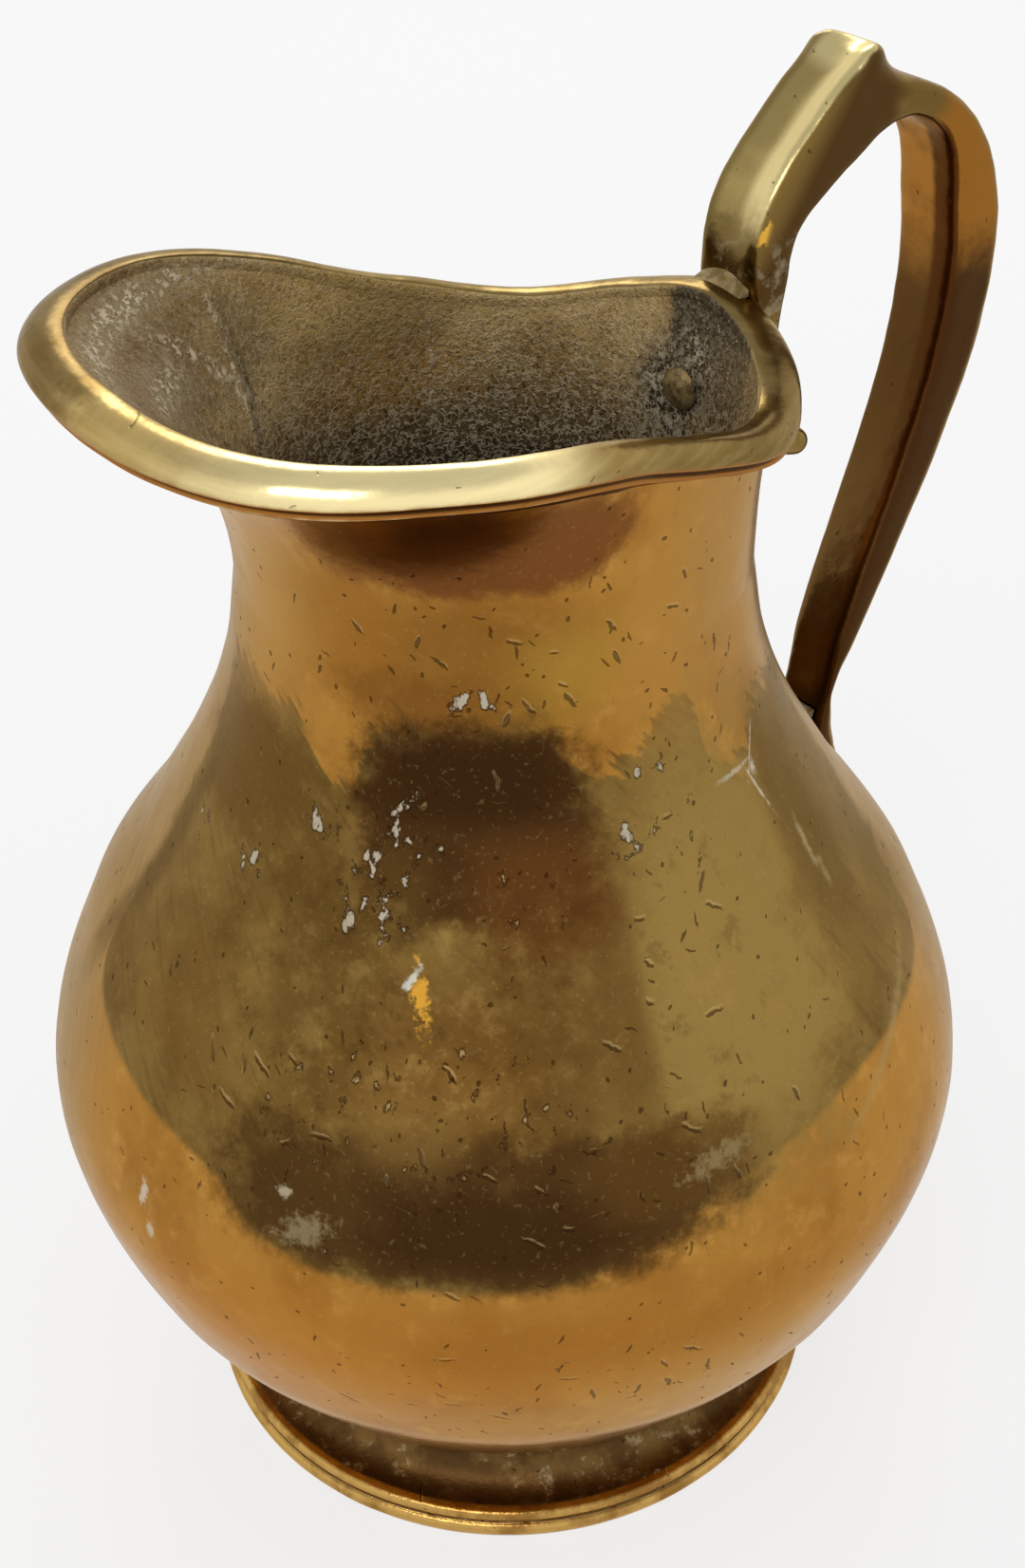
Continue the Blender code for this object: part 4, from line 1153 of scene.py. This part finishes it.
def foot_brass():
    metal, shader, point = new_metal("foot_brass", 0.28)
    spot = placed_group(PLACE_ON_BOWL, {"Point": point})
    cloud = noise(point, 150.0, 4.0, 0.6)
    torn = noise(point, 480.0, 4.0, 0.7)
    roll = lay_over((196, 156, 86), (150, 110, 54), ramp(cloud, 0.42, 0.62))
    brown = lay_over((84, 60, 32), (112, 84, 46), ramp(cloud, 0.42, 0.62))
    dirt_and_shade = add_node(point.tree, "ShaderNodeAttribute", attribute_name="grime")["Fac"]
    # dirt and painted shade in the hollow under the bowl and in the groove
    dirty_and_shaded = ramp((torn - 0.5) * 0.5 + dirt_and_shade, 0.25, 0.75)
    colour = lay_over(roll, brown, dirty_and_shaded)
    dust = ramp(torn, 0.54, 0.68) * ramp(cloud, 0.46, 0.58) * dirty_and_shaded
    colour = lay_over(colour, (170, 150, 112), dust * 0.75)
    nicks = marks(spot["Skin"], 2.0, 0.22, 0.45, 0.12, 0.0, 2.0)["Mask"]
    colour = lay_over(colour, GRIME, nicks * 0.55)
    shader["Base Color"] = colour
    shader["Metallic"] = dust * -0.7 + 1.0
    shader["Roughness"] = dirty_and_shaded * 0.24 + 0.18
    bump(shader, torn - nicks, 0.00012)
    return metal


FOOT_BRASS = foot_brass()

# %% Build the foot
foot_inner = FOOT_WAIST_RADIUS - FOOT_WALL
sweep_end = FOOT_RADIUS - 0.0026
waist_reach = sweep_end - FOOT_WAIST_RADIUS
waist_rise = FOOT_WAIST_HEIGHT - FOOT_BEAD
foot_points = [(FOOT_WAIST_RADIUS, 0.0112, 1.0)]
foot_points += [(FOOT_WAIST_RADIUS + waist_reach * (1 - cos(pi / 2 * i / 14)),
                 FOOT_WAIST_HEIGHT - waist_rise * sin(pi / 2 * i / 14), 1.0) for i in range(15)]


def roll_points(centre, height, radius, start, end, steps):
    """Points round one roll of the foot, clockwise from the start angle to the end angle."""
    angles = [radians(start + (end - start) * i / steps) for i in range(steps + 1)]
    return [(centre + radius * cos(angle), height + radius * sin(angle), 0.0) for angle in angles]


foot_points += roll_points(FOOT_RADIUS - 0.00155, 0.00355, 0.00105, 88, -52, 12)
foot_points += [(FOOT_RADIUS - 0.00102, 0.00262, 1.0), (FOOT_RADIUS - 0.00096, 0.00250, 1.0)]
foot_points += roll_points(FOOT_RADIUS - 0.00130, 0.00130, 0.00130, 58, -78, 14)
foot_points += [(FOOT_RADIUS - 0.0020, 0.0, 0.6), (FOOT_RADIUS - 0.0068, 0.0, 0.6),
                (foot_inner + 0.0010, FOOT_WAIST_HEIGHT * 0.4, 1.0),
                (foot_inner, FOOT_WAIST_HEIGHT * 0.8, 1.0), (foot_inner, 0.0096, 1.0)]
foot, foot_section = turned_piece("foot", [(out, up) for out, up, _ in foot_points], FOOT_BRASS,
                                  True)
note(foot_section.data, "grime", [dirt_and_shade for _, _, dirt_and_shade in foot_points])
add_tree(foot, HAND_WORKED, {"Swell": 0.00008, "Swell Length": 0.016, "Ripple": 0.00002,
                             "Ripple Length": 0.004, "Seed": 5.0, "Metal": FOOT_BRASS})
make_plain(foot)
for vertex in foot.data.vertices:
    if vertex.co.z < TREAD_SNAP:
        vertex.co.z = 0.0
bpy.data.objects.remove(foot_section)
hand_in(foot, "foot_ring")

# %% [markdown]
# The handle was cast in one with its thumb rest and then filed by hand, so no edge on it is sharp.
# The CAD casting has the right outline with small edges. Voxel remesh gives it an even skin, which
# is then carved point by point: the tongue of the thumb rest is rounded in plan, the face that
# rises to it is dished between two rolled edges, and a smoothing pass does what the file did.


# %% Helpers for the handle
def soft_step(value, low, high):
    share = min(max((value - low) / (high - low), 0.0), 1.0)
    return share * share * (3 - 2 * share)


def recast(name, node, voxel, carve=None):
    """A CAD casting's shape with an even skin, carved point by point where a rule is given."""
    shape = bmesh.new()
    shape.from_mesh(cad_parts[node].data)
    bmesh.ops.remove_doubles(shape, verts=shape.verts, dist=0.000005)
    mesh = bpy.data.meshes.new(name)
    shape.to_mesh(mesh)
    shape.free()
    piece = new_piece(name, mesh)
    remesh = piece.modifiers.new("remesh", "REMESH")
    remesh.mode = "VOXEL"
    remesh.voxel_size = voxel
    make_plain(piece)
    if carve:
        places = [carve(vertex.co - AXIS, vertex.normal) + AXIS for vertex in piece.data.vertices]
        for vertex, place in zip(piece.data.vertices, places):
            vertex.co = place
    return piece


def file_edges(piece, passes, metal, swell, seed):
    """Smooth the edges off and work the surface by hand."""
    smooth = piece.modifiers.new("smooth", "SMOOTH")
    smooth.factor = 0.5
    smooth.iterations = passes
    add_tree(piece, HAND_WORKED, {"Swell": swell, "Swell Length": 0.012, "Ripple": 0.00003,
                                  "Ripple Length": 0.003, "Seed": seed, "Filed Off": swell * 1.5,
                                  "Metal": metal})
    make_plain(piece)


REST_START = 0.0500      # from the jug's axis: the tongue is straight up to here
REST_HALF_WIDTH = 0.0055
REST_CORNERS = 3.2       # 2 is an ellipse, more is squarer


def carve_handle(place, normal):
    """Round the thumb rest's tongue and dish the face that rises to it."""
    place = place.copy()
    rising = soft_step(place.z, 0.152, 0.158) * soft_step(-place.x, -0.0560, -0.0530)
    facing = soft_step(normal.z - normal.x, 0.5, 1.2)
    side = abs(place.y) * 1000
    roll = soft_step(side, 2.0, 3.8) * (1 - soft_step(side, 4.6, 5.4))
    dish = 1 - soft_step(side, 0.8, 3.4)
    place += normal * (rising * facing * (0.00040 * roll - 0.00045 * dish))
    beyond = place.x - REST_START
    if beyond > 0:
        across = min(abs(place.y) / REST_HALF_WIDTH, 1.0)
        tongue = soft_step(place.z, 0.1700, 0.1728) * soft_step(-place.x, -0.0640, -0.0590)
        round_end = (1 - across ** REST_CORNERS) ** (1 / REST_CORNERS)
        place.x -= beyond * (1 - round_end) * tongue
    return place


print("the tongue is rounded beyond", REST_START * 1000, "mm from the axis")

# %% [markdown]
# The handle's colours go by place and by the way a face looks, both in the jug's own space. The face
# that rises to the thumb rest is polished by the thumb, and a painted highlight lies along its near
# rolled edge and round the tongue's tip. The strap's inner face has a warm brown bloom that turns to
# dark brown lower down, with a nearly black band along its edge, and the narrow sides go from orange
# gold to dark brown.


# %% The handle's brass
def handle_brass():
    metal, shader, point = new_metal("handle_brass", 0.24)
    facing_x, facing_y, facing_z = parts(add_node(point.tree, "ShaderNodeTexCoord")["Normal"])
    reach, y, height = parts((point - AXIS) * 1000.0)
    sideways = abs(facing_y)
    cloud = noise(point, 110.0, 4.0, 0.6)
    torn = noise(point, 420.0, 4.0, 0.66)
    shaken = (torn - 0.5) * 5.0

    ground = lay_over((150, 122, 66), (112, 88, 44), ramp(cloud, 0.40, 0.62))
    rising = ramp(height, 146.0, 150.0) * ramp(reach, 60.0, 55.0)
    upward = ramp(facing_z - facing_x, 0.35, 0.85)
    side = ramp(sideways + shaken * 0.02, 0.50, 0.85)

    face = lay_over((106, 86, 47), (168, 147, 92), ramp(height + shaken, 153.5, 165.0))
    colour = lay_over(ground, face, rising * upward)
    near = y * -1.0
    # painted highlight along the near rolled edge and round the tongue's tip, over polish
    polish_and_highlight = ramp(near, -0.4, 1.8) * ramp(sideways, 0.75, 0.35)
    dull = rising * ramp(near, -2.6, -4.0)
    polish_and_highlight = highest(polish_and_highlight, ramp(reach, 48.5, 51.0))
    polish_and_highlight = polish_and_highlight * rising * upward * ramp(height + shaken, 156.5, 162.5)
    colour = lay_over(colour, (226, 208, 150), polish_and_highlight * 0.85)
    colour = lay_over(colour, (104, 84, 46), dull * 0.75)
    spot = rising * side * ramp(abs(shaken * 2.0 + (height - 157.4)), 1.5, 0.7)
    rising_side = lay_over((124, 98, 52), (80, 57, 28), ramp(height * 0.7 - reach, 75.0, 70.0))
    colour = lay_over(colour, rising_side, rising * side)
    colour = lay_over(colour, (232, 178, 70), spot * ramp(facing_x, -0.05, -0.35) * 0.9)

    strap = ramp((150.0 - height) * 0.45 + reach, 55.0, 60.0)
    inner = strap * ramp(facing_z * 0.55 + facing_x, -0.05, -0.45)
    bloom = lay_over((140, 93, 37), (160, 108, 46), ramp(cloud, 0.42, 0.60))
    low = ramp(shaken * 1.6 + height, 152.0, 140.0)
    inside_face = lay_over(bloom, (90, 62, 29), low)
    inside_face = lay_over(inside_face, (104, 76, 40), ramp(height, 130.0, 105.0))
    colour = lay_over(colour, inside_face, inner)
    strap_side = lay_over((148, 98, 36), (70, 44, 21), ramp(shaken * 1.6 + height, 152.0, 143.0))
    colour = lay_over(colour, strap_side, strap * side)
    edge = highest(facing_x * -2.0 * sideways, facing_z * -2.0 * sideways)
    band = ramp(shaken * 0.05 + edge, 0.25, 0.60) * ramp(near, 0.0, 1.0)
    band = highest(band, inner * ramp(shaken * 0.2 + near, 0.8, 2.0))
    band = strap * band * ramp(sideways, 0.93, 0.80)
    colour = lay_over(colour, (76, 42, 16), band * ramp(height, 118.0, 146.0, 0.35, 0.92))
    outer_edge = strap * ramp(facing_x * 2.0 * sideways, 0.12, 0.6) * ramp(height, 172.0, 166.0)
    colour = lay_over(colour, (132, 102, 54), outer_edge * 0.85)

    root = ramp(height, 160.0, 152.0) * ramp(reach, 46.0, 42.0) * ramp(torn, 0.50, 0.70)
    colour = lay_over(colour, (188, 174, 142), root * 0.5)
    place = add_node(point.tree, "ShaderNodeMix", {
        "Factor": maths("GREATER_THAN", sideways, 0.7),
        4: joined(y, reach * 0.6 + height * 0.8), 5: joined(reach, height)},
        data_type="VECTOR")[1]
    pits = marks(place, 2.4, 0.12, 0.34, 0.18)["Mask"]
    colour = lay_over(colour, GRIME, pits * 0.55)
    shader["Base Color"] = colour
    shader["Roughness"] = root * 0.3 + (torn * 0.16 + 0.17)
    bump(shader, noise(point, 300.0, 3.0) - pits, 0.0001)
    return metal


HANDLE_BRASS = handle_brass()
handle = recast("strap_handle", "handle", 0.0004, carve_handle)
file_edges(handle, 36, HANDLE_BRASS, 0.00010, 11.0)
hand_in(handle, "handle")

# %% [markdown]
# The small pieces are where the jug was put together and mended. Each gets the metal it is made of:
# yellow brazing brass inside the foot, a brown cast disc, rivets with pale hammered heads, and grey
# soft solder. The solder at the handle's root was wiped flat on the band while it was hot, so its
# shape is pressed down before it is smoothed.


# %% Metals of the small pieces
def small_metal(name, first, second, third, roughness, metallic, size):
    """A cloudy metal of two colours with a third in specks, for a piece a few millimetres wide."""
    metal, shader, point = new_metal(name, roughness, metallic)
    cloud = noise(point, 1.0 / size, 4.0, 0.6)
    torn = noise(point, 4.0 / size, 4.0, 0.7)
    colour = lay_over(first, second, ramp(cloud, 0.42, 0.60))
    specks = ramp(torn, 0.56, 0.68)
    colour = lay_over(colour, third, specks * 0.7)
    shader["Base Color"] = colour
    shader["Roughness"] = specks * 0.2 + roughness
    bump(shader, torn * 0.5 + cloud, 0.00018)
    return metal


BRAZE = small_metal("brazing_brass", (170, 136, 66), (120, 90, 44), (70, 50, 28), 0.42, 1.0, 0.004)
DISC_BRASS = small_metal("disc_brass", (112, 84, 44), (84, 60, 32), (160, 140, 104),
                         0.45, 0.9, 0.006)
RUBBED_RIVET = small_metal("rubbed_rivet_brass", (176, 154, 102), (138, 112, 64),
                           (112, 86, 46), 0.30, 1.0, 0.003)
RIVET_BRASS = small_metal("crusted_rivet_brass", (158, 136, 90), (96, 78, 48),
                          (200, 188, 156), 0.5, 0.6, 0.0014)
SOLDER = small_metal("soft_solder", (160, 139, 96), (122, 100, 56), (200, 192, 176),
                     0.5, 0.6, 0.002)

# %% Build the small pieces
SOLDER_BASE = 0.15080    # the band's top under the solder
SOLDER_BACK = 0.0346     # the handle's face, from the axis
SOLDER_FRONT = 0.0309
SOLDER_HALF_WIDTH = 0.0042


def wiped_solder(place, normal):
    """Press the solder flat towards the mouth and leave it standing at the handle."""
    place = place.copy()
    share = min(max((place.x - SOLDER_FRONT) / (SOLDER_BACK - SOLDER_FRONT), 0.0), 1.0)
    if place.z > SOLDER_BASE:
        ends = 1 - 0.6 * min(abs(place.y) / SOLDER_HALF_WIDTH, 1.0) ** 2
        place.z = SOLDER_BASE + (place.z - SOLDER_BASE) * (0.10 + 0.80 * share * share) * ends
    place.x += 0.0009 * share
    place.z -= 0.0004 * (1 - share)
    return place


RIVET_HEIGHT = 0.1397
RIVET_HEAD_SHARE = 0.86  # the crusted head looks smaller than the CAD's clean one


def worn_rivet(place, normal):
    """Shrink the head a little towards the rivet's own axis."""
    return Vector((place.x, place.y * RIVET_HEAD_SHARE,
                   RIVET_HEIGHT + (place.z - RIVET_HEIGHT) * RIVET_HEAD_SHARE))


SMALL = (
    # CAD node, name, slot, metal, voxel, smoothing passes, carving rule
    ("foot_braze", "braze_fillet", "braze", BRAZE, 0.0003, 8, None),
    ("base_disc", "closing_disc", "disc_brass", DISC_BRASS, 0.0004, 6, None),
    ("upper_rivet", "upper_rivet_dressed", "rivet_brass", RIVET_BRASS, 0.0002, 14, worn_rivet),
    ("lower_rivet", "lower_rivet_dressed", "rivet_brass", RUBBED_RIVET, 0.0002, 10, None),
    ("root_solder", "root_solder_dressed", "solder", SOLDER, 0.00014, 30, wiped_solder),
    ("lower_solder", "lower_solder_dressed", "solder", SOLDER, 0.00015, 10, None),
)
for number, (node, name, slot, metal, voxel, passes, carve) in enumerate(SMALL):
    piece = recast(name, node, voxel, carve)
    file_edges(piece, passes, metal, 0.00004, 21.0 + number)
    hand_in(piece, node)

# %% [markdown]
# The jug stands on plain pale ground in soft studio light. The background does not come from more
# light on the jug: the floor and the world only show pale to the camera and to reflections, and
# light the jug at a plain level, at which a colour comes out about as it is written. Two soft boxes
# give the rim and the handle their bright lines.

# %% Floor, light and background
FLOOR_HALF = 30.0
WHITE = (1.0, 1.0, 1.0, 1.0)
floor_metal = bpy.data.materials.new("pale_floor")
floor_metal.use_nodes = True
tree = floor_metal.node_tree
tree.nodes.clear()
plain = add_node(tree, "ShaderNodeBsdfDiffuse", {"Color": (0.88, 0.88, 0.88, 1.0)})
glow = add_node(tree, "ShaderNodeEmission", {"Color": WHITE, "Strength": 1.0})
path = add_node(tree, "ShaderNodeLightPath")
seen = highest(path["Is Camera Ray"], path["Is Glossy Ray"])
mixed = add_node(tree, "ShaderNodeMixShader", {0: seen * 0.72, 1: plain[0], 2: glow[0]})
add_node(tree, "ShaderNodeOutputMaterial", {"Surface": mixed[0]})
floor = new_piece("floor")
floor.data.from_pydata([(x * FLOOR_HALF, y * FLOOR_HALF, 0.0)
                        for x, y in ((-1, -1), (1, -1), (1, 1), (-1, 1))], [], [(0, 1, 2, 3)])
floor.data.materials.append(floor_metal)

world = bpy.data.worlds.new("studio")
world.use_nodes = True
bpy.context.scene.world = world
tree = world.node_tree
tree.nodes.clear()
direction = add_node(tree, "ShaderNodeTexCoord")["Generated"]
pale = ramp(parts(direction)[2], 0.45, 0.80, 1.0, 0.62)
path = add_node(tree, "ShaderNodeLightPath")
seen = highest(path["Is Camera Ray"], path["Is Glossy Ray"], path["Is Transmission Ray"])
lit = add_node(tree, "ShaderNodeBackground", {"Color": WHITE, "Strength": 0.65})
shown = add_node(tree, "ShaderNodeBackground", {"Color": WHITE, "Strength": pale})
both = add_node(tree, "ShaderNodeMixShader", {0: seen, 1: lit[0], 2: shown[0]})
add_node(tree, "ShaderNodeOutputWorld", {"Surface": both[0]})


def soft_box(name, place, size, power):
    lamp = bpy.data.lights.new(name, "AREA")
    lamp.shape = "RECTANGLE"
    lamp.size, lamp.size_y = size
    lamp.energy = power
    made = bpy.data.objects.new(name, lamp)
    made.location = place
    made.rotation_mode = "QUATERNION"
    made.rotation_quaternion = (aim - Vector(place)).to_track_quat("-Z", "Y")
    bpy.context.scene.collection.objects.link(made)


soft_box("window", (-0.55, -0.35, 0.75), (0.45, 0.30), 1.6)
soft_box("far_window", (0.45, 0.65, 0.60), (0.40, 0.25), 1.3)
print("floor, world and two soft boxes are set")

# %% [markdown]
# The helper line is removed, and the view is set to Standard.

# %% Last steps
bpy.data.objects.remove(mouth_line)
bpy.context.scene.view_settings.view_transform = "Standard"
